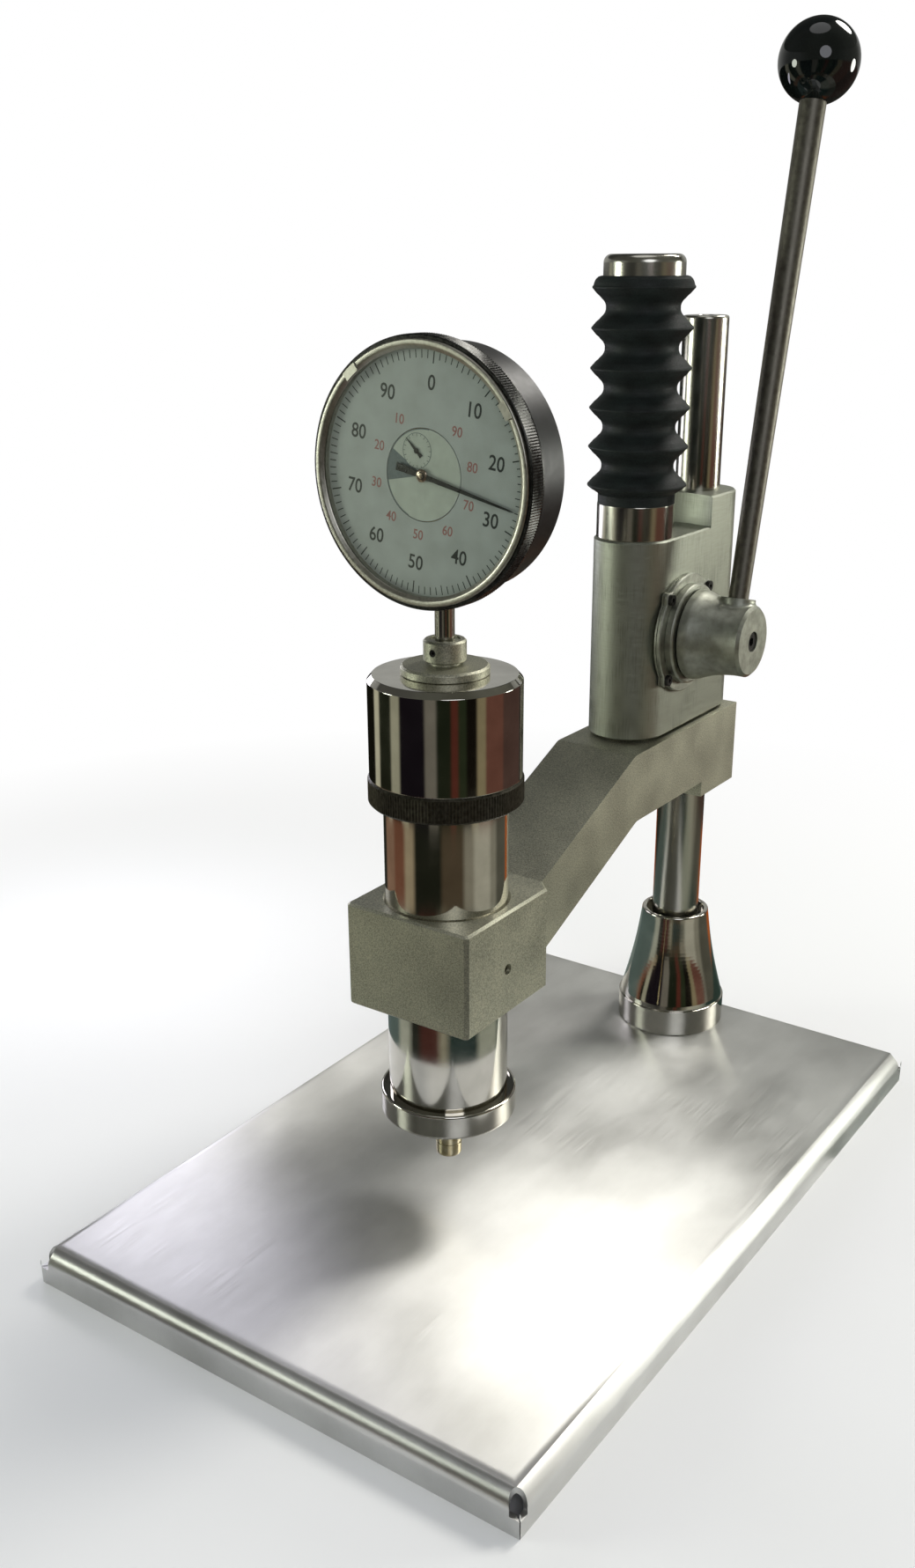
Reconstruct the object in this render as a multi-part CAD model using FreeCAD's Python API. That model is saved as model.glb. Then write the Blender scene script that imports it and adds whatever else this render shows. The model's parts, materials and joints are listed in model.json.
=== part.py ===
import FreeCAD
import Part
import math
import os

# Bench durometer: a dial gauge head on a Z-shaped arm, lowered by a rack and a
# hand lever in front of a column that stands on a folded steel base.
# Millimetres. Origin at the middle of the base's footprint on the table, Z up.
# The head is at the front (-Y), the column at the rear, the lever on the right.

V = FreeCAD.Vector
X = V(1, 0, 0)
Y = V(0, 1, 0)
Z = V(0, 0, 1)

# Driving dimensions. Heights climb from the base up the column, and places
# along Y run from the column forwards, so that each value is set once.

# Base pan
BASE_W = 250.0
BASE_L = 382.0
BASE_H = 18.0
SHEET = 2.5
BEND_R = 8.0
CORNER_INSET = 2.6
CORNER_CUT_R = 3.4
SEAM_H = 8.0
SEAM_L = 14.0
SEAM_GAP = 0.5
FOOT_R = 11.0
FOOT_INSET = 26.0
STIFF_W = 96.0
STIFF_T = 4.0
STIFF_CORNER = 5.0

# Column, its socket and the bolt from below
COL_INSET = 30.5
COL_R = 12.5
COL_TOP_R = 11.0
COL_STEP_UP = 34.0
COL_STANDS_OUT = 81.5
COL_BEVEL = 1.2
SOCKET_R = 29.0
SOCKET_BAND_H = 15.0
SOCKET_TOP_R = 18.0
SOCKET_H = 66.0
SOCKET_HOLLOW = 1.1
SOCKET_CUP_R = 15.6
SOCKET_CUP_D = 5.0
COLUMN_BOLT_R = 6.0
COLUMN_BOLT_L = 28.0
BOLT_ACROSS = 18.0
BOLT_HEAD_H = 6.5
WASHER_R = 11.0
WASHER_T = 2.0
SET_R = 3.0
SET_L = 5.5

# Housing
COL_TO_RAM = 63.5
HOUSE_R = 19.0
HOUSE_UP = 184.0
HOUSE_H = 95.0
HOUSE_STEP_H = 14.5
STEP_R = 46.0
EDGE = 0.8
HOUSE_SET_IN = 14.0

# Ram, rack and pinion
RAM_R = 11.0
RAM_SEAT_D = 10.0
GUIDE_BORE_R = 14.0
MODULE = 1.25
PINION_TEETH = 18
PRESSURE_ANGLE = math.radians(20.0)
BACKLASH = 0.22
PINION_UP = 48.4
PINION_FACE = 8.0
PINION_BORE_R = 12.9
SHAFT_R = 8.0
SHAFT_IN_HUB = 23.4
RACK_IN = 5.05
RACK_BELOW = 22.4
RACK_TEETH = 14
LOW_BUSH_L = 19.5
FAR_CAP_R = 16.5
FAR_CAP_T = 2.0
FAR_SCREWS_R = 14.6

# Guide ring, bellows, cap and return spring
RING_R = 18.0
RING_H = 15.7
RING_PLUG = 21.0
RING_SPIGOT_R = 16.0
RING_SPIGOT_H = 4.3
BELLOWS_R = 22.9
BELLOWS_NECK_R = 16.6
BELLOWS_END_R = 17.8
BELLOWS_FIRST = 8.2
BELLOWS_PITCH = 17.17
BELLOWS_RIDGES = 6
BELLOWS_LAST = 4.75
BELLOWS_WALL = 1.1
CAP_R = 18.2
CAP_H = 9.0
CAP_ROUND = 3.5
CAP_SCREW_L = 18.0
ARM_BOLT_L = 30.0
ARM_BOLT_SINK = 8.0
RAM_SCREW_R = 4.0
RAM_SCREW_HEAD_R = 6.6
RAM_SCREW_HEAD_H = 5.0
RAM_SCREW_KEY = 6.0
SPRING_R = 13.0
SPRING_WIRE_R = 1.1
SPRING_TURNS = 6
SPRING_SEAT = 5.0

# Arm and head block
ARM_GAP = 1.4
ARM_HALF_W = 21.5
ARM_T = 34.0
ARM_REAR = 16.0
HEEL_AHEAD = 21.0
HEEL_T = 8.0
BEND_TOP = 30.0
BEND_LOW = 27.0
BEND_ROUND = 9.0
SLOPE = math.tan(math.radians(23.3))
RAM_TO_HEAD = 154.0
BLOCK_WALL = 4.9
BLOCK_FRONT = 30.0
BLOCK_BACK = 37.0
BLOCK_DROP = 32.6
BLOCK_H = 47.0
BLOCK_CORNER = 6.5
HEAD_SET_R = 2.5
HEAD_SET_UP = 21.0
COLUMN_BUSH_R = 14.0

# Lever
LEVER_LEAN = math.radians(11.87)
LEVER_OUT = 26.5
HUB_GAP = 0.6
HUB_L = 29.4
HUB_R0 = 21.5
HUB_R1 = 16.8
HUB_WAIST_R = 17.3
HUB_WAIST_IN = 12.0
HUB_BLEND = 2.0
FLANGE_T = 3.0
FLANGE_R = 28.5
FLANGE_SQUARE = 22.5
FLANGE_CORNER_R = 31.0
COVER_R = 24.0
COVER_T = 4.0
FLANGE_SCREW_R = 27.4
FLANGE_SCREW_SHANK_R = 2.0
FLANGE_SCREW_L = 7.0
FLANGE_GROOVE_X = 0.9
FLANGE_GROOVE_W = 0.4
FLANGE_GROOVE_D = 0.5
HUB_SCREW_R = 3.0
HUB_SCREW_L = 20.0
HUB_SCREW_IN = 4.0
HUB_SCREW_HEAD_R = 4.5
BOSS_R = 8.2
BOSS_TOP = 19.2
ROD_R0 = 4.7
ROD_R1 = 6.0
ROD_FOOT = 9.6
KNOB_R = 17.9
KNOB_AT = 253.7
KNOB_FLAT = 16.8
KNOB_STUD_R = 4.0
KNOB_STUD_L = 16.5

# Measuring head
BARREL_R = 26.1
BARREL_WALL = 6.1
BARREL_BELOW = 51.0
BARREL_ABOVE = 68.0
NOSE_PROUD = 3.8
NOSE_LIP = 3.7
NOSE_H = 11.5
LOCK_PROUD = 6.1
LOCK_ABOVE = 43.7
LOCK_H = 10.9
CAP_PROUD = 5.4
HEAD_CAP_H = 42.6
HEAD_BEVEL = 2.0
HEAD_BEVEL_H = 2.4
INDENTER_R = 5.8
INDENTER_OUT = 24.8
INDENTER_IN = 7.7
COLLET_R = 8.0
COLLET_H = 3.0
PUSH_ROD_R = 3.5
PUSH_ROD_UNDER_TOP = 13.2
PRESS_SPRING_R = 5.6
PRESS_WIRE_R = 0.6
PRESS_TURNS = 5
PRESS_SPRING_L = 24.0
ROD_SEAT_T = 6.0
ROD_GUIDE_UNDER = 6.7
ROD_GUIDE_T = 8.0

# Gauge holder
DISC_R = 18.0
DISC_T = 3.8
NECK_R = 6.2
NECK_IN = 8.0
NECK_SLOT = 1.2
STEM_R = 4.0
COLLAR_R = 8.7
COLLAR_UP = 5.2
COLLAR_H = 8.8

# Dial gauge, its depths measured back from the stem
DIAL_UP = 78.7
CASE_R = 47.0
CASE_AHEAD = 11.2
CASE_BEHIND = 11.0
CASE_WALL = 2.0
CASE_BACK_T = 2.5
CASE_HATCH_R = 40.0
BACK_R = 44.5
BACK_SCREWS_R = 42.3
BEZEL_R = 50.5
BEZEL_AHEAD = 16.2
BEZEL_L = 8.6
SILVER_R = 48.9
SILVER_PROUD = 1.0
OPENING_R = 45.3
CRYSTAL_AHEAD = 15.9
CRYSTAL_T = 0.8
FACE_AHEAD = 13.0
FACE_T = 0.6
FACE_R = 46.6
CENTRE_R = 17.0
CENTRE_GAP = 0.3
PLATE_AHEAD = 5.2
PLATE_T = 1.6
PILLARS_R = 34.0
ARBOR_R = 0.95
SMALL_ARBOR_R = 0.75
POINTER_TIP = 42.5
POINTER_TAIL = 12.0
POINTER_TURN = math.radians(103.9)
SMALL_X = -2.7
SMALL_UP = 8.8
SMALL_TIP = 6.6
SMALL_TURN = math.radians(-46.0)
SPINDLE_R = 2.0
SPINDLE_REACH = 36.0
MARKER_TURNS = (math.radians(-39.5), math.radians(57.0))
MARKER_T = 0.5
MARKER_IN = 38.0

# Clearances: RUN is radial play of a sliding or turning fit, FREE parts two
# pieces that pass each other without guiding.
RUN = 0.05
FREE = 0.4

# Derived: along the column
SOCKET_TOP_Z = BASE_H + SOCKET_H
HOUSE_Z0 = BASE_H + HOUSE_UP
HOUSE_Z1 = HOUSE_Z0 + HOUSE_H
HOUSE_REAR_Z = HOUSE_Z1 + HOUSE_STEP_H
COL_SHOULDER_Z = HOUSE_Z0 + COL_STEP_UP
COL_TOP_Z = HOUSE_REAR_Z + COL_STANDS_OUT
PINION_Z = HOUSE_Z0 + PINION_UP
RING_TOP_Z = HOUSE_Z1 + RING_H
RING_SPIGOT_Z = RING_TOP_Z + RING_SPIGOT_H
SPRING_FLOOR_Z = HOUSE_Z1 + SPRING_SEAT
BELLOWS_RIDGE_Z = RING_TOP_Z + BELLOWS_FIRST
RAM_TOP_Z = BELLOWS_RIDGE_Z + (BELLOWS_RIDGES - 1) * BELLOWS_PITCH + BELLOWS_LAST
CAP_TOP_Z = RAM_TOP_Z + CAP_H
ARM_TOP_Z = HOUSE_Z0 - ARM_GAP
ARM_LOW_Z = ARM_TOP_Z - ARM_T
HEEL_Z = ARM_LOW_Z - HEEL_T
RAM_SEAT_Z = ARM_TOP_Z - RAM_SEAT_D

# Derived: forwards from the column
COL_Y = BASE_L / 2.0 - COL_INSET
RAM_Y = COL_Y - COL_TO_RAM
HEAD_Y = RAM_Y - RAM_TO_HEAD
ARM_REAR_Y = COL_Y + ARM_REAR
HEEL_Y = COL_Y - HEEL_AHEAD
BEND_TOP_Y = RAM_Y - BEND_TOP
BEND_LOW_Y = RAM_Y - BEND_LOW
BLOCK_Y0 = HEAD_Y - BLOCK_FRONT
BLOCK_Y1 = HEAD_Y + BLOCK_BACK
PITCH_R = MODULE * PINION_TEETH / 2.0
RACK_PITCH = math.pi * MODULE
RACK_LINE_Y = RAM_Y + RACK_IN
PINION_Y = RACK_LINE_Y + PITCH_R
RACK_Z0 = PINION_Z - RACK_BELOW
RACK_Z1 = RACK_Z0 + RACK_TEETH * RACK_PITCH

# Derived: across, from the housing's flank to the lever
FLANGE_X0 = HOUSE_R
FLANGE_X1 = FLANGE_X0 + FLANGE_T
COVER_X1 = FLANGE_X1 + COVER_T
HUB_X0 = COVER_X1 + HUB_GAP
HUB_X1 = HUB_X0 + HUB_L
LEVER_X = HOUSE_R + LEVER_OUT
SHAFT_END_X = HUB_X0 + SHAFT_IN_HUB

# Derived: the measuring head, up from the arm's block
BLOCK_HALF_W = BARREL_R + BLOCK_WALL
BLOCK_Z1 = ARM_TOP_Z - BLOCK_DROP
BLOCK_Z0 = BLOCK_Z1 - BLOCK_H
BARREL_IN_R = BARREL_R - BARREL_WALL
BARREL_Z0 = BLOCK_Z0 - BARREL_BELOW
BARREL_Z1 = BLOCK_Z1 + BARREL_ABOVE
HEAD_HOLLOW_R = BARREL_IN_R + 2.0
NOSE_R = BARREL_R + NOSE_PROUD
NOSE_Z0 = BARREL_Z0 - NOSE_LIP
NOSE_Z1 = NOSE_Z0 + NOSE_H
LOCK_R = BARREL_R + LOCK_PROUD
LOCK_Z0 = BLOCK_Z1 + LOCK_ABOVE
LOCK_Z1 = LOCK_Z0 + LOCK_H
HEAD_CAP_R = BARREL_R + CAP_PROUD
HEAD_BEVEL_R = HEAD_CAP_R - HEAD_BEVEL
HEAD_TOP_Z = LOCK_Z1 + HEAD_CAP_H
INDENTER_Z0 = NOSE_Z0 - INDENTER_OUT
INDENTER_Z1 = NOSE_Z0 + INDENTER_IN
ROD_SEAT_Z0 = INDENTER_Z1 + COLLET_H + PRESS_SPRING_L
ROD_GUIDE_Z0 = LOCK_Z0 - ROD_GUIDE_UNDER
PUSH_ROD_Z1 = HEAD_TOP_Z - PUSH_ROD_UNDER_TOP
COLLAR_Z0 = HEAD_TOP_Z + COLLAR_UP
COLLAR_Z1 = COLLAR_Z0 + COLLAR_H

# Derived: the dial gauge, forwards from its stem
DIAL_Z = HEAD_TOP_Z + DIAL_UP
CASE_Y0 = HEAD_Y - CASE_AHEAD
CASE_Y1 = HEAD_Y + CASE_BEHIND
BEZEL_Y0 = HEAD_Y - BEZEL_AHEAD
BEZEL_Y1 = BEZEL_Y0 + BEZEL_L
SILVER_Y0 = BEZEL_Y0 - SILVER_PROUD
CRYSTAL_Y0 = HEAD_Y - CRYSTAL_AHEAD
CRYSTAL_Y1 = CRYSTAL_Y0 + CRYSTAL_T
FACE_Y = HEAD_Y - FACE_AHEAD
FACE_BACK_Y = FACE_Y + FACE_T
PLATE_Y0 = HEAD_Y - PLATE_AHEAD
PLATE_Y1 = PLATE_Y0 + PLATE_T
SMALL_Z = DIAL_Z + SMALL_UP
MARKER_Y = SILVER_Y0 - MARKER_T - RUN

parts = {}


def keep(name, shape):
    parts[name] = shape


def cyl(r, z0, z1, x=0.0, y=0.0):
    return Part.makeCylinder(r, z1 - z0, V(x, y, z0), Z)


def cyl_x(r, x0, x1, y, z):
    return Part.makeCylinder(r, x1 - x0, V(x0, y, z), X)


def cyl_y(r, y0, y1, x, z):
    return Part.makeCylinder(r, y1 - y0, V(x, y0, z), Y)


def box(x0, x1, y0, y1, z0, z1):
    return Part.makeBox(x1 - x0, y1 - y0, z1 - z0, V(x0, y0, z0))


def turned(points, x=0.0, y=0.0):
    """Revolve (radius, height) points about the vertical line through x, y."""
    wire = Part.makePolygon([V(x + r, y, z) for r, z in points + points[:1]])
    return Part.Face(wire).revolve(V(x, y, 0), Z, 360)


def turned_y(points, x, z):
    """Revolve (radius, y) points about the line along Y through x, z."""
    wire = Part.makePolygon([V(x + r, y, z) for r, y in points + points[:1]])
    return Part.Face(wire).revolve(V(x, 0, z), Y, 360)


def turned_x(points, y, z):
    """Revolve (radius, x) points about the line along X through y, z."""
    wire = Part.makePolygon([V(x, y, z + r) for r, x in points + points[:1]])
    return Part.Face(wire).revolve(V(0, y, z), X, 360)


def flat(points, direction):
    """Extrude a closed outline given as vectors."""
    wire = Part.makePolygon(points + points[:1])
    return Part.Face(wire).extrude(direction)


def hex_prism(across, z0, z1, x=0.0, y=0.0):
    r = across / math.sqrt(3.0)
    ring = []
    for k in range(6):
        a = math.radians(60.0 * k)
        ring.append(V(x + r * math.cos(a), y + r * math.sin(a), z0))
    return flat(ring, V(0, 0, z1 - z0))


def cap_screw(shank_r, length, head_r, head_h, key):
    """A socket cap screw along +Z: head on top, its seat at Z = 0."""
    body = cyl(shank_r, -length, 0).fuse(cyl(head_r, 0, head_h))
    body = body.cut(hex_prism(key, head_h * 0.45, head_h + 1))
    return body.removeSplitter()


def grub_screw(r, length, key):
    """A headless screw along +Z from 0 to its length, key hole on top."""
    body = turned([(0, 0), (r * 0.55, 0), (r, r * 0.5), (r, length), (0, length)])
    return body.cut(hex_prism(key, length * 0.55, length + 1))


def aim(shape, at, direction):
    """Turn a piece built along +Z to a direction and move it to a point."""
    turn = FreeCAD.Rotation(Z, direction)
    out = shape.copy()
    out.Placement = FreeCAD.Placement(at, turn)
    return out


def soften(shape, size, test):
    """Chamfer the edges that the test picks."""
    edges = [e for e in shape.Edges if test(e)]
    return shape.makeChamfer(size, edges) if edges else shape


def blend(shape, radius, test):
    """Fillet the edges that the test picks."""
    edges = [e for e in shape.Edges if test(e)]
    return shape.makeFillet(radius, edges) if edges else shape


def stadium(r, y0, y1, z0, z1):
    body = box(-r, r, y0, y1, z0, z1)
    body = body.fuse(cyl(r, z0, z1, 0, y0)).fuse(cyl(r, z0, z1, 0, y1))
    return body.removeSplitter()


# Base: one folded pan, its corners relieved at the bends, with a seam below.

def make_base():
    hw = BASE_W / 2.0
    hl = BASE_L / 2.0
    top = box(-hw, hw, -hl, hl, 0, BASE_H)
    rim = [e for e in top.Edges if abs(e.CenterOfMass.z - BASE_H) < 1e-6]
    outer = top.makeFillet(BEND_R, rim)
    low = box(-hw + SHEET, hw - SHEET, -hl + SHEET, hl - SHEET, -1, BASE_H - SHEET)
    rim = [e for e in low.Edges if abs(e.CenterOfMass.z - (BASE_H - SHEET)) < 1e-6]
    inner = low.makeFillet(BEND_R - SHEET, rim)
    pan = outer.cut(inner)
    for sx in (-1, 1):
        for sy in (-1, 1):
            cx = sx * (hw - CORNER_INSET)
            cy = sy * (hl - CORNER_INSET)
            pan = pan.cut(cyl(CORNER_CUT_R, SEAM_H, BASE_H + 1, cx, cy))
            slit = Part.makeBox(SEAM_L, SEAM_GAP, SEAM_H + 2, V(-SHEET, -SEAM_GAP / 2.0, -1))
            slit.rotate(V(0, 0, 0), Z, math.degrees(math.atan2(sy, sx)))
            slit.translate(V(sx * (hw - 2 * SHEET), sy * (hl - 2 * SHEET), 0))
            pan = pan.cut(slit)
    pan = pan.cut(cyl(COLUMN_BOLT_R + FREE, 0, BASE_H + 1, 0, COL_Y))
    keep("base_pan", pan)

    w = STIFF_W / 2.0
    y0 = COL_Y - w
    y1 = min(COL_Y + w, hl - SHEET - BEND_R)
    z1 = BASE_H - SHEET
    plate = box(-w, w, y0, y1, z1 - STIFF_T, z1)
    plate = plate.cut(cyl(COLUMN_BOLT_R + FREE, 0, BASE_H, 0, COL_Y))
    plate = soften(plate, STIFF_CORNER, lambda e: abs(e.tangentAt(e.FirstParameter).z) > 0.9
                   and e.Length < STIFF_T + 0.1 and abs(e.CenterOfMass.x) > w - 1)
    keep("base_stiffener", plate)

    feet = None
    for sx in (-1, 1):
        for sy in (-1, 1):
            x = sx * (hw - FOOT_INSET)
            y = sy * (hl - FOOT_INSET)
            top_z = BASE_H - SHEET
            foot = turned([(0, 0), (FOOT_R - 1, 0), (FOOT_R, 1), (FOOT_R, top_z - 3),
                           (FOOT_R - 2, top_z), (0, top_z)], x, y)
            feet = foot if feet is None else feet.fuse(foot)
    keep("base_feet", feet)


# Column, the polished socket cone around its foot and the bolt from below.

def make_column():
    z0 = BASE_H
    z1 = BASE_H + SOCKET_BAND_H
    profile = [(COL_R, z0), (SOCKET_R, z0), (SOCKET_R, z1 - 0.6), (SOCKET_R - 0.8, z1)]
    steps = 10
    for k in range(1, steps + 1):
        t = k / float(steps)
        r = (SOCKET_R - 0.8) + (SOCKET_TOP_R - SOCKET_R + 0.8) * t
        r = r - SOCKET_HOLLOW * math.sin(math.pi * t)
        profile.append((r, z1 + (SOCKET_TOP_Z - 0.7 - z1) * t))
    profile.append((SOCKET_TOP_R - 0.8, SOCKET_TOP_Z))
    profile.append((SOCKET_CUP_R, SOCKET_TOP_Z))
    profile.append((SOCKET_CUP_R - 1.0, SOCKET_TOP_Z - SOCKET_CUP_D))
    profile.append((COL_R, SOCKET_TOP_Z - SOCKET_CUP_D))
    socket = turned(profile, 0, COL_Y)
    socket = socket.cut(cyl_y(SET_R, COL_Y + COL_R, COL_Y + SOCKET_R + 1, 0, z0 + SOCKET_BAND_H / 2.0))
    keep("column_socket", socket)

    rod = turned([(0, z0), (COL_R - 1, z0), (COL_R, z0 + 1), (COL_R, COL_SHOULDER_Z),
                  (COL_TOP_R, COL_SHOULDER_Z), (COL_TOP_R, COL_TOP_Z - COL_BEVEL),
                  (COL_TOP_R - COL_BEVEL, COL_TOP_Z), (0, COL_TOP_Z)], 0, COL_Y)
    rod = rod.cut(cyl(COLUMN_BOLT_R, z0 - 1, z0 + COLUMN_BOLT_L + 4, 0, COL_Y))
    rod = rod.cut(turned([(0, COL_TOP_Z - 9), (2.5, COL_TOP_Z - 8), (2.5, COL_TOP_Z - 1.5),
                          (4.0, COL_TOP_Z + 0.1), (0, COL_TOP_Z + 0.1)], 0, COL_Y))
    keep("column", rod)

    under = BASE_H - SHEET - STIFF_T
    washer = cyl(WASHER_R, under - WASHER_T, under, 0, COL_Y)
    washer = washer.cut(cyl(COLUMN_BOLT_R + FREE / 2.0, 0, BASE_H, 0, COL_Y))
    keep("column_washer", washer)
    seat = under - WASHER_T
    bolt = cyl(COLUMN_BOLT_R, seat, z0 + COLUMN_BOLT_L, 0, COL_Y)
    bolt = bolt.fuse(hex_prism(BOLT_ACROSS, seat - BOLT_HEAD_H, seat, 0, COL_Y))
    keep("column_bolt", bolt.removeSplitter())


# Housing: a stadium block on the column with the ram bore in front.

def make_housing():
    body = stadium(HOUSE_R, RAM_Y, COL_Y, HOUSE_Z0, HOUSE_REAR_Z)
    front = cyl(STEP_R, HOUSE_Z1, HOUSE_REAR_Z + 1, 0, RAM_Y)
    body = body.cut(front).removeSplitter()
    levels = (HOUSE_Z0, HOUSE_Z1, HOUSE_REAR_Z)

    def rim(e):
        z = e.CenterOfMass.z
        on_level = min(abs(z - s) for s in levels) < 1e-6
        lies_flat = e.BoundBox.ZLength < 1e-6
        middle = (RAM_Y + COL_Y) / 2.0
        inner = abs(e.CenterOfMass.x) < HOUSE_R - 2.0 and abs(e.CenterOfMass.y - middle) < HOUSE_R
        return on_level and lies_flat and not inner

    body = soften(body, EDGE, rim)
    body = body.cut(cyl(GUIDE_BORE_R, HOUSE_Z0 - 1, HOUSE_REAR_Z + 1, 0, RAM_Y))
    body = body.cut(cyl(COL_R, HOUSE_Z0 - 1, COL_SHOULDER_Z, 0, COL_Y))
    body = body.cut(cyl(COL_TOP_R, COL_SHOULDER_Z - 1, HOUSE_REAR_Z + 1, 0, COL_Y))
    body = body.cut(cyl_x(PINION_BORE_R, -HOUSE_R - 1, HOUSE_R + 1, PINION_Y, PINION_Z))
    deep = FLANGE_X1 - FLANGE_SCREW_L - 0.5
    for y, z in flange_screw_points():
        body = body.cut(cyl_x(FLANGE_SCREW_SHANK_R, deep, HOUSE_R + 1, y, z))
    for z in (HOUSE_Z0 + HOUSE_SET_IN, HOUSE_REAR_Z - HOUSE_SET_IN):
        body = body.cut(cyl_y(SET_R, COL_Y, COL_Y + HOUSE_R + 1, 0, z))
    keep("housing", body)

    screws = None
    seats = ((BASE_H + SOCKET_BAND_H / 2.0, COL_R), (HOUSE_Z0 + HOUSE_SET_IN, COL_R),
             (HOUSE_REAR_Z - HOUSE_SET_IN, COL_TOP_R))
    for z, r in seats:
        grub = aim(grub_screw(SET_R, SET_L, SET_R), V(0, COL_Y + r, z), Y)
        screws = grub if screws is None else screws.fuse(grub)
    keep("column_set_screws", screws)

    z0 = HOUSE_Z0 + FREE
    z1 = z0 + LOW_BUSH_L
    bush = turned([(RAM_R + RUN, z0), (GUIDE_BORE_R, z0), (GUIDE_BORE_R, z1), (RAM_R + RUN, z1)], 0, RAM_Y)
    keep("lower_ram_bush", bush)

    low = HOUSE_Z1 - RING_PLUG
    well = SPRING_R + SPRING_WIRE_R + FREE
    ring = turned([(RAM_R + RUN, low), (GUIDE_BORE_R, low), (GUIDE_BORE_R, HOUSE_Z1),
                   (RING_R, HOUSE_Z1), (RING_R, RING_TOP_Z), (RING_SPIGOT_R, RING_TOP_Z),
                   (RING_SPIGOT_R, RING_SPIGOT_Z), (well, RING_SPIGOT_Z),
                   (well, SPRING_FLOOR_Z), (RAM_R + RUN, SPRING_FLOOR_Z)], 0, RAM_Y)
    keep("guide_ring", ring)


def flange_screw_points():
    s = FLANGE_SCREW_R / math.sqrt(2.0)
    out = []
    for sy in (-1, 1):
        for sz in (-1, 1):
            out.append((PINION_Y + sy * s, PINION_Z + sz * s))
    return out


# Pinion, its bearings and the covers on both sides.

def involute_tooth_points():
    """One tooth of the pinion as (radius, angle) pairs about its middle."""
    base_r = PITCH_R * math.cos(PRESSURE_ANGLE)
    tip_r = PITCH_R + MODULE
    root_r = PITCH_R - 1.25 * MODULE
    half = (math.pi * MODULE / 2.0 - BACKLASH) / (2.0 * PITCH_R)
    inv_p = math.tan(PRESSURE_ANGLE) - PRESSURE_ANGLE

    def angle_at(r):
        if r <= base_r:
            return half + inv_p
        a = math.acos(base_r / r)
        return half + inv_p - (math.tan(a) - a)

    flank = [root_r, base_r + 0.02]
    for k in range(1, 4):
        flank.append(base_r + (tip_r - base_r) * k / 3.0)
    rising = [(r, -angle_at(r)) for r in flank]
    falling = [(r, angle_at(r)) for r in reversed(flank)]
    return rising + falling


def make_pinion():
    # A tooth gap faces the rack tooth that stands level with the axis.
    ring = []
    for k in range(PINION_TEETH):
        middle = math.pi + 2.0 * math.pi * (k + 0.5) / PINION_TEETH
        for r, a in involute_tooth_points():
            t = middle + a
            ring.append(V(-PINION_FACE, PINION_Y + r * math.cos(t), PINION_Z + r * math.sin(t)))
    gear = flat(ring, V(2 * PINION_FACE, 0, 0))
    left = cyl_x(SHAFT_R - RUN, -HOUSE_R + 1, -PINION_FACE, PINION_Y, PINION_Z)
    right = cyl_x(SHAFT_R - RUN, PINION_FACE, SHAFT_END_X, PINION_Y, PINION_Z)
    shaft = gear.fuse(left).fuse(right)
    bolt_hole = cyl_x(HUB_SCREW_R, SHAFT_END_X - HUB_SCREW_L, SHAFT_END_X + 1, PINION_Y, PINION_Z)
    shaft = shaft.cut(bolt_hole).removeSplitter()
    keep("pinion_shaft", shaft)

    def bush(x0, x1):
        outer = cyl_x(PINION_BORE_R, x0, x1, PINION_Y, PINION_Z)
        ram_room = cyl(GUIDE_BORE_R, HOUSE_Z0, HOUSE_REAR_Z, 0, RAM_Y)
        return outer.cut(cyl_x(SHAFT_R, x0 - 1, x1 + 1, PINION_Y, PINION_Z)).cut(ram_room)

    right_bush = bush(PINION_FACE + FREE, HOUSE_R)
    left_bush = bush(-HOUSE_R + 1, -PINION_FACE - FREE)
    keep("pinion_bushes", right_bush.fuse(left_bush))

    face = -HOUSE_R - FAR_CAP_T
    plug = turned_x([(0, face), (FAR_CAP_R - 1, face), (FAR_CAP_R, face + 1),
                     (FAR_CAP_R, -HOUSE_R), (0, -HOUSE_R)], PINION_Y, PINION_Z)
    left_screws = None
    for k in range(3):
        a = math.radians(90 + 120 * k)
        y = PINION_Y + FAR_SCREWS_R * math.cos(a)
        z = PINION_Z + FAR_SCREWS_R * math.sin(a)
        plug = plug.cut(cyl_x(1.3, face - 1, -HOUSE_R + 1, y, z))
        screw = aim(cap_screw(1.3, FAR_CAP_T, 1.9, 1.0, 1.3), V(face, y, z), -X)
        left_screws = screw if left_screws is None else left_screws.fuse(screw)
    keep("left_cover", plug)
    keep("left_cover_screws", left_screws)


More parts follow.
